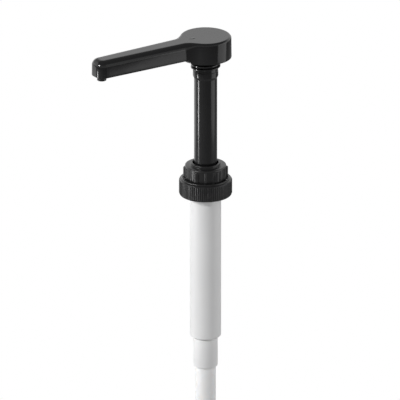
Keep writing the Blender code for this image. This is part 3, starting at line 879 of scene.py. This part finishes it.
@dataclass
class Head:
    """The push pad with its spout arm, and the inner channel that carries the sauce to the nozzle."""

    pad_radius: float = 20.4
    draft: float = 0.1
    pad_top: float = 125.5
    pad_bottom: float = 108.0
    pad_fillet: float = 2.1
    arm_tip: float = -103.3
    arm_bottom: float = 111.8
    arm_root_half: float = 10.0
    arm_tip_half: float = 8.5
    arm_corner: float = 6.3
    arm_fillet: float = 5.3
    flare_radius: float = 15.5
    wall: float = 1.8
    rim_round: float = 0.35
    skirt_top: float = 113.9
    duct_height: float = 118.6
    duct_radius: float = 4.2
    duct_bore: float = 2.9
    duct_end: float = -99.9
    nozzle_x: float = -96.6
    nozzle_bottom: float = 107.8
    nozzle_radius: float = 3.7
    nozzle_bore: float = 2.7
    socket_radius: float = 14.0
    socket_bore: float = 12.3
    socket_bottom: float = 108.4
    socket_ceiling: float = 115.2
    chamber_roof: float = 121.9
    plate_top: float = 123.2
    plate_radius: float = 18.0
    mark_x: float = -12.4
    mark_length: float = 2.6
    mark_half: float = 1.25
    mark_height: float = 0.16

    def outline(self) -> list[tuple[float, float, float, float]]:
        """The head in plan.

        Returns:
            (x, y, fillet, foot) points: the top edge's radius and the wall's lowest height there.
        """
        centre_y = self.arm_root_half + self.flare_radius
        centre_x = -math.sqrt((self.pad_radius + self.flare_radius) ** 2 - centre_y**2)
        meet = math.atan2(centre_y, centre_x)
        half = []
        for i in range(PAD_STEPS + 1):
            angle = meet * i / PAD_STEPS
            half.append((self.pad_radius * math.cos(angle), self.pad_radius * math.sin(angle), 0.0))
        for i in range(1, FLARE_STEPS + 1):
            angle = meet - math.pi + (math.pi / 2 - meet) * i / FLARE_STEPS
            x = centre_x + self.flare_radius * math.cos(angle)
            y = centre_y + self.flare_radius * math.sin(angle)
            half.append((x, y, i / FLARE_STEPS))
        corner_x = self.arm_tip + self.arm_corner
        for i in range(1, ARM_STEPS):
            share = i / ARM_STEPS
            y = self.arm_root_half + (self.arm_tip_half - self.arm_root_half) * share
            half.append((centre_x + (corner_x - centre_x) * share, y, 1.0))
        for i in range(CORNER_STEPS + 1):
            angle = math.pi / 2 * (1 + i / CORNER_STEPS)
            x = corner_x + self.arm_corner * math.cos(angle)
            y = self.arm_tip_half - self.arm_corner + self.arm_corner * math.sin(angle)
            half.append((x, y, 1.0))
        whole = half + [(x, -y, arm) for x, y, arm in reversed(half[1:])]
        return [(x, y, self._fillet(arm), self._foot(arm)) for x, y, arm in whole]

    def _fillet(self, arm: float) -> float:
        """The top edge's radius, from the pad at 0 to the arm at 1."""
        return self.pad_fillet + (self.arm_fillet - self.pad_fillet) * eased(arm)

    def _foot(self, arm: float) -> float:
        """The wall's lowest height, from the pad at 0 to the arm at 1."""
        share = min(1.0, max(0.0, (arm - 0.35) / 0.55))
        return self.pad_bottom + (self.arm_bottom - self.pad_bottom) * eased(share)

    @staticmethod
    def inset(points: Sequence[Sequence[float]], depths: Sequence[float]) -> list[tuple[float, float]]:
        """Moves each point of an anticlockwise outline inwards.

        Args:
            points: the outline, whose first two numbers are x and y.
            depths: how far each point moves.

        Returns:
            The moved points.
        """
        moved = []
        for i, (point, depth) in enumerate(zip(points, depths)):
            before = Vector(points[i - 1][:2])
            after = Vector(points[(i + 1) % len(points)][:2])
            here = Vector(point[:2])
            along = (here - before).normalized() + (after - here).normalized()
            along.normalize()
            moved.append((here.x - along.y * depth, here.y + along.x * depth))
        return moved

    def _dome(self, outline: list[Any], wall: float, top: float, steps: int) -> list[list[Any]]:
        """The rings of a rounded top edge, from the wall up to the flat top.

        Args:
            outline: the head in plan.
            wall: how far inside the outer surface it is.
            top: the flat top's height.
            steps: rings on the fillet.

        Returns:
            The rings, with one more just inside the flat top.
        """
        rings = []
        height = self.pad_top - self.pad_bottom
        fillets = [p[2] - wall for p in outline]
        for step in range(steps + 1):
            turn = math.pi / 2 * step / steps
            drop, reach = 1 - math.sin(turn), 1 - math.cos(turn)
            lean = [wall + self.draft * (1 - 2 * r * drop / height) + r * reach for r in fillets]
            flat = self.inset(outline, lean)
            rings.append([(x, y, top - r * drop) for (x, y), r in zip(flat, fillets)])
        support = self.inset(outline, [self.draft + p[2] + 0.5 for p in outline])
        rings.append([(x, y, top) for x, y in support])
        return rings

    def build_shell(self) -> bpy.types.Object:
        """The outer moulding: pad and arm, open underneath.

        Returns:
            The shell.
        """
        outline = self.outline()
        foot = [p[3] for p in outline]
        outer = []
        for step in range(5):
            turn = math.pi / 2 * step / 4
            lean = [-self.draft + self.rim_round * (1 - math.sin(turn))] * len(outline)
            ring = self.inset(outline, lean)
            lift = self.rim_round * (1 - math.cos(turn))
            outer.append([(x, y, z + lift) for (x, y), z in zip(ring, foot)])
        outer += self._dome(outline, 0.0, self.pad_top, 12)
        inner = self._dome(outline, self.wall, self.pad_top - self.wall, 6)
        rim = self.inset(outline, [self.wall - self.draft] * len(outline))
        inner.insert(0, [(x, y, z) for (x, y), z in zip(rim, foot)])
        shell = loft("pad_and_arm", list(reversed(inner)) + outer)
        inside, outside = self.pad_radius - self.wall + 0.2, self.pad_radius - 0.2
        section = band(inside, outside, self.skirt_top, self.pad_bottom + 0.1)
        skirt = turned("pad_skirt", section[1:] + section[:1])
        boolean(shell, skirt, "UNION")
        return shell

    def build_mark(self) -> bpy.types.Object:
        """A plain raised drop on the pad, where the arm begins.

        Returns:
            The mark.
        """
        outline = []
        for i in range(MARK_STEPS):
            angle = math.tau * i / MARK_STEPS
            x = self.mark_length * math.cos(angle)
            y = self.mark_half * math.sin(angle) * math.sin(angle / 2) ** 1.5
            outline.append((self.mark_x - x, y))
        crown, middle = self.pad_top + self.mark_height, self.mark_x
        low = [(x, y, self.pad_top - 0.1) for x, y in outline]
        high = [(x, y, crown - 0.05) for x, y in outline]
        top = [(middle + (x - middle) * 0.86, y * 0.8, crown) for x, y in outline]
        return loft("drop_mark", [low, high, top])

    def build_channel(self) -> bpy.types.Object:
        """The inner moulding: threaded socket, duct along the arm, and outlet nozzle.

        Returns:
            The channel.
        """
        edge = 0.3
        profile = rounded(
            [
                (0.0, self.plate_top, 0.0),
                (self.plate_radius, self.plate_top, edge),
                (self.plate_radius, self.chamber_roof, edge),
                (self.socket_radius, self.chamber_roof, 0.8),
                (self.socket_radius, self.socket_bottom, edge),
                (self.socket_bore, self.socket_bottom, 0.5),
                (self.socket_bore, self.socket_ceiling, edge),
                (Stem.bore, self.socket_ceiling, edge),
                (Stem.bore, self.chamber_roof, 0.8),
                (0.0, self.chamber_roof, 0.0),
            ],
            closed=False,
        )
        channel = lathe("spout_duct", profile, INNER_STEPS + 32)
        height = self.duct_height
        nozzle_profile = rounded(
            [
                (0.0, height, 0.0),
                (self.nozzle_radius - 0.15, height, 0.0),
                (self.nozzle_radius - 0.1, self.nozzle_bottom + 1.4, 0.6),
                (self.nozzle_radius, self.nozzle_bottom + 0.9, 0.3),
                (self.nozzle_radius - 0.05, self.nozzle_bottom, 0.35),
                (0.0, self.nozzle_bottom, 0.0),
            ],
            closed=False,
        )
        nozzle = lathe("nozzle", nozzle_profile, INNER_STEPS)
        for vertex in nozzle.data.vertices:
            vertex.co.x += self.nozzle_x * MM
        duct = cylinder("duct", self.duct_radius, (-13.0, 0, height), (self.duct_end, 0, height))
        duct_bore = cylinder("bore", self.duct_bore, (0, 0, height), (self.nozzle_x - 1.5, 0, height))
        nozzle_bore = cylinder(
            "nozzle_bore",
            self.nozzle_bore,
            (self.nozzle_x, 0, self.nozzle_bottom - 1),
            (self.nozzle_x, 0, height + 0.4),
        )
        for tool in (duct, nozzle):
            boolean(channel, tool, "UNION")
        for tool in (duct_bore, nozzle_bore):
            boolean(channel, tool, "DIFFERENCE")
        return channel

    def dress(self, shop: Workshop) -> None:
        """Builds the head's pieces and puts them in place."""
        shop.place(self.build_shell(), GLOSS_BLACK, Body.HEAD, "head_shell")
        shop.place(self.build_mark(), GLOSS_BLACK, Body.HEAD)
        channel = self.build_channel()
        thread_low = self.socket_bottom + 1.2
        lengths = {
            "Radius": self.socket_bore + 0.05,
            "Pitch": Stem.neck_pitch,
            "Low": thread_low,
            "Depth": 1.3,
            "Foot Width": 1.5,
            "Crest Width": 0.5,
        }
        others = {
            "Turns": 1.5,
            "Phase": math.tau * ((thread_low - Stem.thread_low) / Stem.neck_pitch + 0.5),
            "Inward": 1.0,
        }
        shop.grow(channel, shop.trees.thread, SATIN_BLACK, lengths, others)
        shop.place(channel, SATIN_BLACK, Body.HEAD, "spout_channel")
        seal = turned("head_washer", band(7.4, 10.7, 114.9, 113.7), INNER_STEPS)
        shop.place(seal, SEAL_RUBBER, Body.HEAD, "head_seal")


# ---------------------------------------------------------------- stem


@dataclass
class Stem:
    """The sliding stem with its neck thread, and the keeper of the outlet ball inside it."""

    radius: float = 9.13
    bore: float = 6.9
    neck_root: float = 9.6
    neck_crest: float = 11.7
    neck_pitch: float = 2.6
    neck_bottom: float = 96.6
    thread_low: float = 98.4
    neck_top: float = 113.4
    sleeve_radius: float = 10.05
    sleeve_bottom: float = 92.4
    sleeve_chamfer: float = 90.4
    shoulder: float = -2.6
    spigot_radius: float = 7.4
    spigot_bore: float = 5.6
    spigot_bottom: float = -12.6

    def build_tube(self, shop: Workshop) -> bpy.types.Object:
        """The stem, turned, with its thread grown on.

        Args:
            shop: the trees and finishes.

        Returns:
            The stem.
        """
        corners = [
            (self.bore, self.neck_top, 0.2),
            (self.neck_root, self.neck_top, 0.5),
            (self.neck_root, self.neck_bottom, 0.45),
            (self.sleeve_radius, self.neck_bottom, 0.3),
            (self.sleeve_radius, self.sleeve_bottom, 0.5),
            (self.radius, self.sleeve_chamfer, 0.6),
            (self.radius, self.shoulder, 0.2),
            (self.spigot_radius, self.shoulder, 0.2),
            (self.spigot_radius, self.spigot_bottom, 0.4),
            (self.spigot_bore, self.spigot_bottom, 0.2),
            (self.spigot_bore, self.shoulder, 0.3),
            (self.bore, self.shoulder + 1.3, 0.3),
        ]
        tube = turned("sliding_stem", corners)
        foot_below = 0.4
        lengths = {
            "Radius": (self.neck_crest + self.neck_root - foot_below) / 2,
            "Pitch": self.neck_pitch,
            "Low": self.thread_low,
            "Depth": self.neck_crest - self.neck_root + foot_below,
            "Foot Width": 2.3,
            "Crest Width": 0.9,
        }
        others = {"Turns": 5.0, "Phase": 0.0, "Inward": 0.0}
        return shop.grow(tube, shop.trees.thread, STEM_BLACK, lengths, others)

    def dress(self, shop: Workshop) -> None:
        """Builds the stem's pieces and puts them in place."""
        shop.place(self.build_tube(shop), STEM_BLACK, Body.HEAD, "stem_tube")
        cage = turned("outlet_keeper", band(5.2, 6.6, 3.0, -0.6, 0.3), INNER_STEPS)
        boolean(cage, cylinder("bar", 0.8, (-5.8, 0, 1.6), (5.8, 0, 1.6)), "UNION")
        shop.place(cage, WHITE_MOULDED, Body.HEAD, "outlet_ball_cage")


# ---------------------------------------------------------------- collar and closure


@dataclass
class Collar:
    """The ribbed collar round the stem, with the bush and wiper inside it."""

    radius: float = 16.35
    top: float = 17.0
    bottom: float = 4.7
    bore: float = 10.2
    ring_radius: float = 11.8
    ring_top: float = 19.1
    skirt_bore: float = 15.4
    ceiling: float = 13.2
    seat_bore: float = 12.4
    web_bottom: float = 11.6
    ribs: Feature = (16, 5.4, 15.8, 0.85, 0.65, math.radians(12.5))
    lugs: Feature = (6, 7.0, 15.2, 2.4, 1.5, math.radians(30.5))

    def build_cap(self, shop: Workshop) -> bpy.types.Object:
        """The collar, turned, with its fine ribs and broad lugs grown on.

        Args:
            shop: the trees and finishes.

        Returns:
            The collar.
        """
        corners = [
            (self.ring_radius, self.top, 0.3),
            (self.radius, self.top, 0.9),
            (self.radius + 0.1, self.bottom, 0.3),
            (self.skirt_bore, self.bottom, 0.2),
            (self.skirt_bore, self.ceiling, 0.3),
            (self.seat_bore, self.ceiling, 0.3),
            (self.seat_bore, self.web_bottom, 0.2),
            (self.bore, self.web_bottom, 0.2),
            (self.bore, self.ring_top, 0.5),
            (self.ring_radius, self.ring_top, 0.5),
        ]
        cap = turned("ribbed_collar", corners)
        for count, low, high, half_width, half_depth, turn in (self.ribs, self.lugs):
            lengths = {
                "Ring Radius": self.radius - 0.1,
                "Low": low,
                "High": high,
                "Half Width": half_width,
                "Half Depth": half_depth,
            }
            shop.grow(cap, shop.trees.ribs, SATIN_BLACK, lengths, {"Count": count, "Phase": turn})
        return cap

    def dress(self, shop: Workshop) -> None:
        """Builds the collar's pieces and puts them in place."""
        shop.place(self.build_cap(shop), SATIN_BLACK, Body.ROOT, "collar_cap")
        bush = [
            (9.4, 9.1, 0.3),
            (12.3, 9.1, 0.3),
            (12.3, 7.2, 0.2),
            (10.7, 7.2, 0.2),
            (10.7, -2.4, 0.3),
            (9.4, -2.4, 0.3),
        ]
        guide = turned("guide_bush", bush, INNER_STEPS)
        shop.place(guide, WHITE_MOULDED, Body.ROOT, "guide_bushing")
        lip = [(10.1, 11.3, 0.2), (12.3, 11.3, 0.2), (12.3, 9.4, 0.2), (10.1, 9.4, 0.2), (9.4, 10.2, 0.2)]
        wiper = turned("stem_wiper", lip, INNER_STEPS)
        shop.place(wiper, SEAL_RUBBER, Body.ROOT, "wiper_seal")


@dataclass
class Closure:
    """The knurled screw closure, and the gasket that it clamps on the jar's rim."""

    radius: float = 20.62
    crest: float = 21.0
    top: float = 6.6
    bottom: float = -7.6
    hole: float = 17.8
    bore: float = 19.1
    lip: float = 4.6
    bead: float = 19.2
    groove: float = 5.5
    rib_count: int = 80
    rib_half_width: float = 0.52
    thread_pitch: float = 4.233

    def build_cap(self, shop: Workshop) -> bpy.types.Object:
        """The closure, turned, with its grip ribs and its jar thread grown on.

        Args:
            shop: the trees and finishes.

        Returns:
            The closure.
        """
        corners = [
            (self.hole, self.top, 0.3),
            (self.bead, self.top, 0.55),
            (self.bead - 0.05, self.groove, 0.12),
            (self.bead + 0.55, self.groove - 0.22, 0.1),
            (self.radius - 0.1, self.groove - 0.3, 0.7),
            (self.radius, self.groove - 1.6, 0.5),
            (self.radius + 0.05, self.bottom, 0.7),
            (self.bore, self.bottom, 0.5),
            (self.bore, self.lip, 0.3),
            (self.hole, self.lip, 0.2),
        ]
        cap = turned("knurled_closure", corners, 2 * FINE_STEPS)
        lengths = {
            "Ring Radius": self.crest - self.rib_half_width,
            "Low": self.bottom + 0.9,
            "High": self.groove - 0.75,
            "Half Width": self.rib_half_width,
            "Half Depth": self.rib_half_width,
        }
        others = {"Count": self.rib_count, "Bluntness": 40.0, "Phase": 0.0}
        shop.grow(cap, shop.trees.ribs, SATIN_BLACK, lengths, others)
        lengths = {
            "Radius": self.bore - 0.3,
            "Pitch": self.thread_pitch,
            "Low": self.bottom + 1.5,
            "Depth": 1.4,
            "Foot Width": 1.5,
            "Crest Width": 0.6,
        }
        others = {"Turns": 1.25, "Phase": 0.1, "Inward": 1.0}
        return shop.grow(cap, shop.trees.thread, SATIN_BLACK, lengths, others)

    def dress(self, shop: Workshop) -> None:
        """Builds the closure and the gasket, and puts them in place."""
        shop.place(self.build_cap(shop), SATIN_BLACK, Body.CLOSURE, "screw_closure")
        gasket = turned("rim_gasket", band(12.9, 17.9, 1.5, 0.0))
        shop.place(gasket, SEAL_RUBBER, Body.ROOT, "neck_gasket")


# ---------------------------------------------------------------- cylinder and plunger


@dataclass
class Cylinder:
    """The white pump cylinder with its flange, and everything that works inside it."""

    radius: float = 12.29
    bore: float = 11.0
    bottom: float = -127.3
    flange_radius: float = 18.8
    flange_top: float = 4.3
    flange_bottom: float = 1.8
    boss_radius: float = 15.1
    boss_bore: float = 12.6
    boss_top: float = 11.0
    boss_floor: float = 6.9
    spring_radius: float = 9.1
    spring_wire: float = 0.6
    spring_turns: float = 17.0
    spring_top: float = -18.6
    spring_bottom: float = -119.1
    spring_seat: float = -119.7
    stroke: float = 78.0
    ring_radius: float = 10.0
    ring_wire: float = 0.85
    piston_radius: float = 10.7
    piston_bore: float = 7.7
    piston_top: float = -2.9
    piston_bottom: float = -16.6
    piston_floor: float = -12.9
    port_radius: float = 2.6
    ring_heights: tuple[float, float] = (-6.0, -13.4)

    def build_body(self) -> bpy.types.Object:
        """The cylinder, its flange and the boss that the collar screws on."""
        corners = [
            (self.boss_bore, self.boss_top, 0.3),
            (self.boss_radius, self.boss_top, 0.4),
            (self.boss_radius, self.flange_top, 0.3),
            (self.flange_radius, self.flange_top, 0.3),
            (self.flange_radius, self.flange_bottom, 0.3),
            (self.radius, self.flange_bottom, 0.5),
            (self.radius, self.bottom, 0.7),
            (self.bore, self.bottom, 0.3),
            (self.bore, self.boss_floor, 0.2),
            (self.boss_bore, self.boss_floor, 0.2),
        ]
        return turned("pump_cylinder", corners)

    def build_spring(self, shop: Workshop) -> bpy.types.Object:
        """The return spring, grown along its coil.

        Args:
            shop: the trees and finishes.

        Returns:
            The spring.
        """
        blank = linked("spring_coil", bpy.data.meshes.new("spring_coil"))
        lengths = {
            "Radius": self.spring_radius,
            "Low": self.spring_bottom,
            "Length": self.spring_top - self.spring_bottom,
            "Wire Radius": self.spring_wire,
        }
        others = {"Turns": self.spring_turns}
        return shop.grow(blank, shop.trees.coil, STAINLESS, lengths, others)

    def ring(self, name: str, height: float) -> bpy.types.Object:
        """A sealing ring round the axis at a height."""
        wire, turns = self.ring_wire, [math.tau * i / 16 for i in range(16)]
        section = [(self.ring_radius + wire * math.sin(a), height + wire * math.cos(a)) for a in turns]
        return lathe(name, section, INNER_STEPS)

    def build_piston(self) -> bpy.types.Object:
        """The piston with its two ring grooves and the outlet ball's seat."""
        bore, edge, port = self.piston_bore, self.piston_radius, self.port_radius
        corners = [(bore, self.piston_top, 0.3), (edge, self.piston_top, 0.4)]
        for centre in self.ring_heights:
            corners += groove(edge, centre)
        corners += [
            (edge, self.piston_bottom, 0.4),
            (4.6, self.piston_bottom, 0.3),
            (port, -15.0, 0.3),
            (port, -13.6, 0.1),
            (4.2, self.piston_floor, 0.1),
            (bore, self.piston_floor, 0.2),
        ]
        return turned("plunger_piston", corners, INNER_STEPS)

    def dress(self, shop: Workshop) -> None:
        """Builds the cylinder's pieces and puts them in place."""
        shop.place(self.build_body(), WHITE_MOULDED, Body.ROOT, "pump_body")
        shop.place(self.build_piston(), WHITE_MOULDED, Body.PLUNGER, "piston")
        for side, height in zip(("upper", "lower"), self.ring_heights):
            ring = self.ring(f"{side}_piston_ring", height)
            shop.place(ring, SEAL_RUBBER, Body.PLUNGER, f"piston_ring_{side}")
        washer = turned("swivel_washer", band(6.4, 10.3, -16.9, -17.7, 0.1), INNER_STEPS)
        shop.place(washer, STAINLESS, Body.PLUNGER, "spring_washer")
        spring = shop.place(self.build_spring(shop), STAINLESS, Body.ROOT, "return_spring")
        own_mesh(spring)
        outlet = self.ball("discharge_ball", 3.9, -10.2)
        shop.place(outlet, STAINLESS, Body.OUTLET, "outlet_ball")

    @staticmethod
    def ball(name: str, radius: float, height: float) -> bpy.types.Object:
        """A ball on the axis, turned from a half circle."""
        steps = 24
        turns = [math.pi * i / steps for i in range(steps + 1)]
        profile = [(radius * math.sin(a), height + radius * math.cos(a)) for a in turns]
        profile[0], profile[-1] = (0.0, height + radius), (0.0, height - radius)
        return lathe(name, profile, INNER_STEPS)


@dataclass
class FootValve:
    """The foot valve in the cylinder's end, and the dip tube that hangs from it."""

    plug_radius: float = 10.7
    plug_top: float = -120.0
    plug_bottom: float = -126.4
    radius: float = 9.63
    bottom: float = -153.1
    relief_radius: float = 8.8
    relief_bottom: float = -129.2
    ring_height: float = -123.2
    mouth_radius: float = 8.4
    chamber_radius: float = 6.6
    inlet_radius: float = 4.1
    keeper_step: float = 1.9
    tube_radius: float = 8.13
    tube_bore: float = 6.9
    tube_top: float = -137.2
    tube_bottom: float = -290.0
    cut_slope: float = math.radians(30)

    def build_housing(self) -> bpy.types.Object:
        """The housing: plug with its ring groove, ball chamber, seat and tube socket."""
        top = self.plug_top
        socket = self.tube_radius + 0.12
        corners = [
            (self.mouth_radius, top, 0.2),
            (self.plug_radius, top, 0.4),
            *groove(self.plug_radius, self.ring_height),
            (self.plug_radius, self.plug_bottom, 0.4),
            (self.relief_radius, self.plug_bottom, 0.2),
            (self.relief_radius, self.relief_bottom, 0.2),
            (self.radius, self.relief_bottom, 0.25),
            (self.radius, self.bottom, 0.75),
            (socket, self.bottom, 0.4),
            (socket, self.tube_top + 0.3, 0.2),
            (self.inlet_radius, -135.0, 0.2),
            (self.inlet_radius, -133.4, 0.2),
            (self.chamber_radius, -131.4, 0.2),
            (self.chamber_radius, top - self.keeper_step, 0.2),
            (self.mouth_radius, top - self.keeper_step, 0.1),
        ]
        return turned("foot_valve", corners)

    def build_tube(self) -> bpy.types.Object:
        """The dip tube, cut on a slant at its lower end.

        Returns:
            The tube.
        """
        drop = self.tube_radius * math.tan(self.cut_slope)
        corners = [
            (self.tube_bore, self.tube_top, 0.2),
            (self.tube_radius, self.tube_top, 0.2),
            (self.tube_radius, self.tube_bottom, 0.15),
            (self.tube_bore, self.tube_bottom, 0.15),
        ]
        tube = turned("pickup_tube", corners)
        for vertex in tube.data.vertices:
            if vertex.co.z < (self.tube_bottom + 1.0) * MM:
                vertex.co.z += drop * MM + vertex.co.x * math.tan(self.cut_slope)
        return tube

    def dress(self, shop: Workshop) -> None:
        """Builds the foot valve's pieces and puts them in place."""
        shop.place(self.build_housing(), WHITE_MOULDED, Body.ROOT, "foot_valve_housing")
        ring = Cylinder().ring("foot_ring", self.ring_height)
        shop.place(ring, SEAL_RUBBER, Body.ROOT, "foot_valve_ring")
        keeper = turned("inlet_keeper", band(6.0, 8.1, -120.3, -121.6), INNER_STEPS)
        height = self.plug_top - 0.95
        boolean(keeper, cylinder("bar", 0.55, (-6.8, 0, height), (6.8, 0, height)), "UNION")
        shop.place(keeper, WHITE_MOULDED, Body.ROOT, "inlet_ball_keeper")
        inlet = Cylinder.ball("suction_ball", 4.8, -130.2)
        shop.place(inlet, STAINLESS, Body.INLET, "inlet_ball")
        shop.place(self.build_tube(), NATURAL_TUBE, Body.ROOT, "dip_tube")


# ---------------------------------------------------------------- studio


@dataclass
class Studio:
    """A pale floor, soft lights and a long lens."""

    azimuth: float = -32.5
    elevation: float = 21.2
    frame_width: float = 315.8
    lens: float = 1650.0
    sensor: float = 36.0
    aim_height: float = -13.3
    aim_left: float = 4.4
    floor_height: float = -291.0
    floor_shade: float = 0.37
    panel_distance: float = 700.0
    key_turn: float = -58.0
    key_rise: float = 28.0
    key_distance: float = 1500.0
    key_size: float = 240.0
    key_radiance: float = 88.0
    glow_spread: tuple[float, float] = (-0.85, 0.25)
    glow_heights: tuple[float, float] = (0.50, 0.66)
    sky_top: float = 0.22
    sky_front: float = 0.50
    sky_back: float = 1.03

    def toward(self, turn: float) -> Vector:
        """The level direction from the pump to a place, turned to the right of the camera.

        Args:
            turn: degrees to the right, seen from the camera.

        Returns:
            A unit vector.
        """
        angle = math.radians(self.azimuth + turn)
        return Vector((math.sin(angle), -math.cos(angle), 0.0))

    def camera(self) -> None:
        """Adds the camera."""
        data = bpy.data.cameras.new("camera")
        data.lens, data.sensor_width = self.lens, self.sensor
        camera = bpy.data.objects.new("camera", data)
        bpy.context.scene.collection.objects.link(camera)
        distance = self.frame_width * self.lens / self.sensor
        tilt = math.radians(self.elevation)
        out = self.toward(0) * math.cos(tilt) + Vector((0, 0, math.sin(tilt)))
        left = -self.toward(90)
        target = Vector((0, 0, self.aim_height)) + left * self.aim_left
        camera.location = (target + out * distance) * MM
        camera.rotation_euler = (-out).to_track_quat("-Z", "Y").to_euler()
        data.clip_end = FAR
        bpy.context.scene.camera = camera

    def panel(
        self, name: str, turns: tuple[float, float], heights: tuple[float, float], radiance: float
    ) -> None:
        """Adds an upright soft panel that faces the pump.

        Args:
            name: the light's name.
            turns: degrees to the right of the camera where its sides stand.
            heights: where its lower and upper edges are.
            radiance: how bright its face is.
        """
        middle, spread = sum(turns) / 2, math.radians(turns[1] - turns[0])
        width, height = 2 * self.panel_distance * math.tan(spread / 2), heights[1] - heights[0]
        way = self.toward(middle)
        place = way * self.panel_distance + Vector((0, 0, sum(heights) / 2))
        self.area_light(name, "RECTANGLE", place, -way, (width, height), radiance * width * height * MM**2)

    @staticmethod
    def area_light(
        name: str, shape: str, place: Vector, aim: Vector, size: tuple[float, float], glow: float
    ) -> None:
        """Adds an area light that the camera doesn't see.

        Args:
            name: the light's name.
            shape: its Blender shape.
            place: where it stands.
            aim: the way that it shines.
            size: its width and height.
            glow: its radiance times its area in square metres.
        """
        light = bpy.data.lights.new(name, "AREA")
        light.shape = shape
        light.size, light.size_y = size[0] * MM, size[1] * MM
        light.energy = glow * math.pi
        obj = bpy.data.objects.new(name, light)
        bpy.context.scene.collection.objects.link(obj)
        obj.location = place * MM
        obj.rotation_euler = aim.to_track_quat("-Z", "Y").to_euler()
        obj.visible_camera = False

    def key(self) -> None:
        """Adds the small, high key light that throws the closure's shadow."""
        rise = math.radians(self.key_rise)
        way = self.toward(self.key_turn) * math.cos(rise) + Vector((0, 0, math.sin(rise)))
        area = math.pi * (self.key_size * MM / 2) ** 2
        size = (self.key_size, self.key_size)
        self.area_light("key", "DISK", way * self.key_distance, -way, size, self.key_radiance * area)

    def floor(self) -> None:
        """Adds a round pale floor that stays white to the eye and calm in reflections."""
        bm = bmesh.new()
        bmesh.ops.create_circle(bm, cap_ends=True, segments=96, radius=FLOOR_RADIUS)
        mesh = bpy.data.meshes.new("floor")
        bm.to_mesh(mesh)
        bm.free()
        floor = bpy.data.objects.new("floor", mesh)
        bpy.context.scene.collection.objects.link(floor)
        floor.location.z = self.floor_height * MM
        material = bpy.data.materials.new("pale_floor")
        material.use_nodes = True
        tree = Tree(material.node_tree)
        material.node_tree.nodes.remove(material.node_tree.nodes["Principled BSDF"])
        matte = tree.add("ShaderNodeBsdfDiffuse", {"Color": (*[self.floor_shade] * 3, 1.0)})
        white = tree.add("ShaderNodeEmission", {"Color": WHITE, "Strength": 1.0})
        seen = tree.add("ShaderNodeLightPath").outputs["Is Camera Ray"]
        mixed = tree.add("ShaderNodeMixShader", {0: seen, 1: matte.outputs[0], 2: white.outputs[0]})
        tree.tree.links.new(mixed.outputs[0], material.node_tree.nodes["Material Output"].inputs[0])
        mesh.materials.append(material)

    def world(self) -> None:
        """Lights the scene with a sky that is white to the eye, bright behind the pump and dim in front."""
        world = bpy.data.worlds.new("studio")
        bpy.context.scene.world = world
        world.use_nodes = True
        tree = Tree(world.node_tree)
        way = tree.add("ShaderNodeTexCoord").outputs["Generated"]
        behind = tree.add(
            "ShaderNodeVectorMath", {0: way, 1: tuple(self.toward(180))}, operation="DOT_PRODUCT"
        ).outputs["Value"]
        rise = tree.add("ShaderNodeSeparateXYZ", {0: way}).outputs["Z"]
        low = tree.ramp(rise, *self.glow_heights, 1.0, 0.0)
        front, back = self.sky_front - self.sky_top, self.sky_back - self.sky_top
        wall = tree.ramp(behind, *self.glow_spread, front, back)
        sky = tree.math("MULTIPLY_ADD", wall, low, self.sky_top)
        seen = tree.add("ShaderNodeLightPath").outputs["Is Camera Ray"]
        strength = tree.math("MAXIMUM", sky, seen)
        background = world.node_tree.nodes["Background"]
        tree.feed(background, {"Color": WHITE, "Strength": strength})

    def build(self) -> None:
        """Builds the whole studio."""
        bpy.context.scene.view_settings.view_transform = "Standard"
        self.camera()
        self.world()
        self.floor()
        self.key()
        for name, turns, heights, radiance in PANELS:
            self.panel(name, turns, heights, radiance)


def main() -> None:
    """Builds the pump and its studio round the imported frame."""
    logging.basicConfig(level=logging.INFO, format="%(name)s: %(message)s")
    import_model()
    Studio().build()
    shop = Workshop()
    for assembly in (Head(), Stem(), Collar(), Closure(), Cylinder(), FootValve()):
        assembly.dress(shop)
        LOG.info("%s is in place", type(assembly).__name__)


if __name__ == "__main__":
    main()
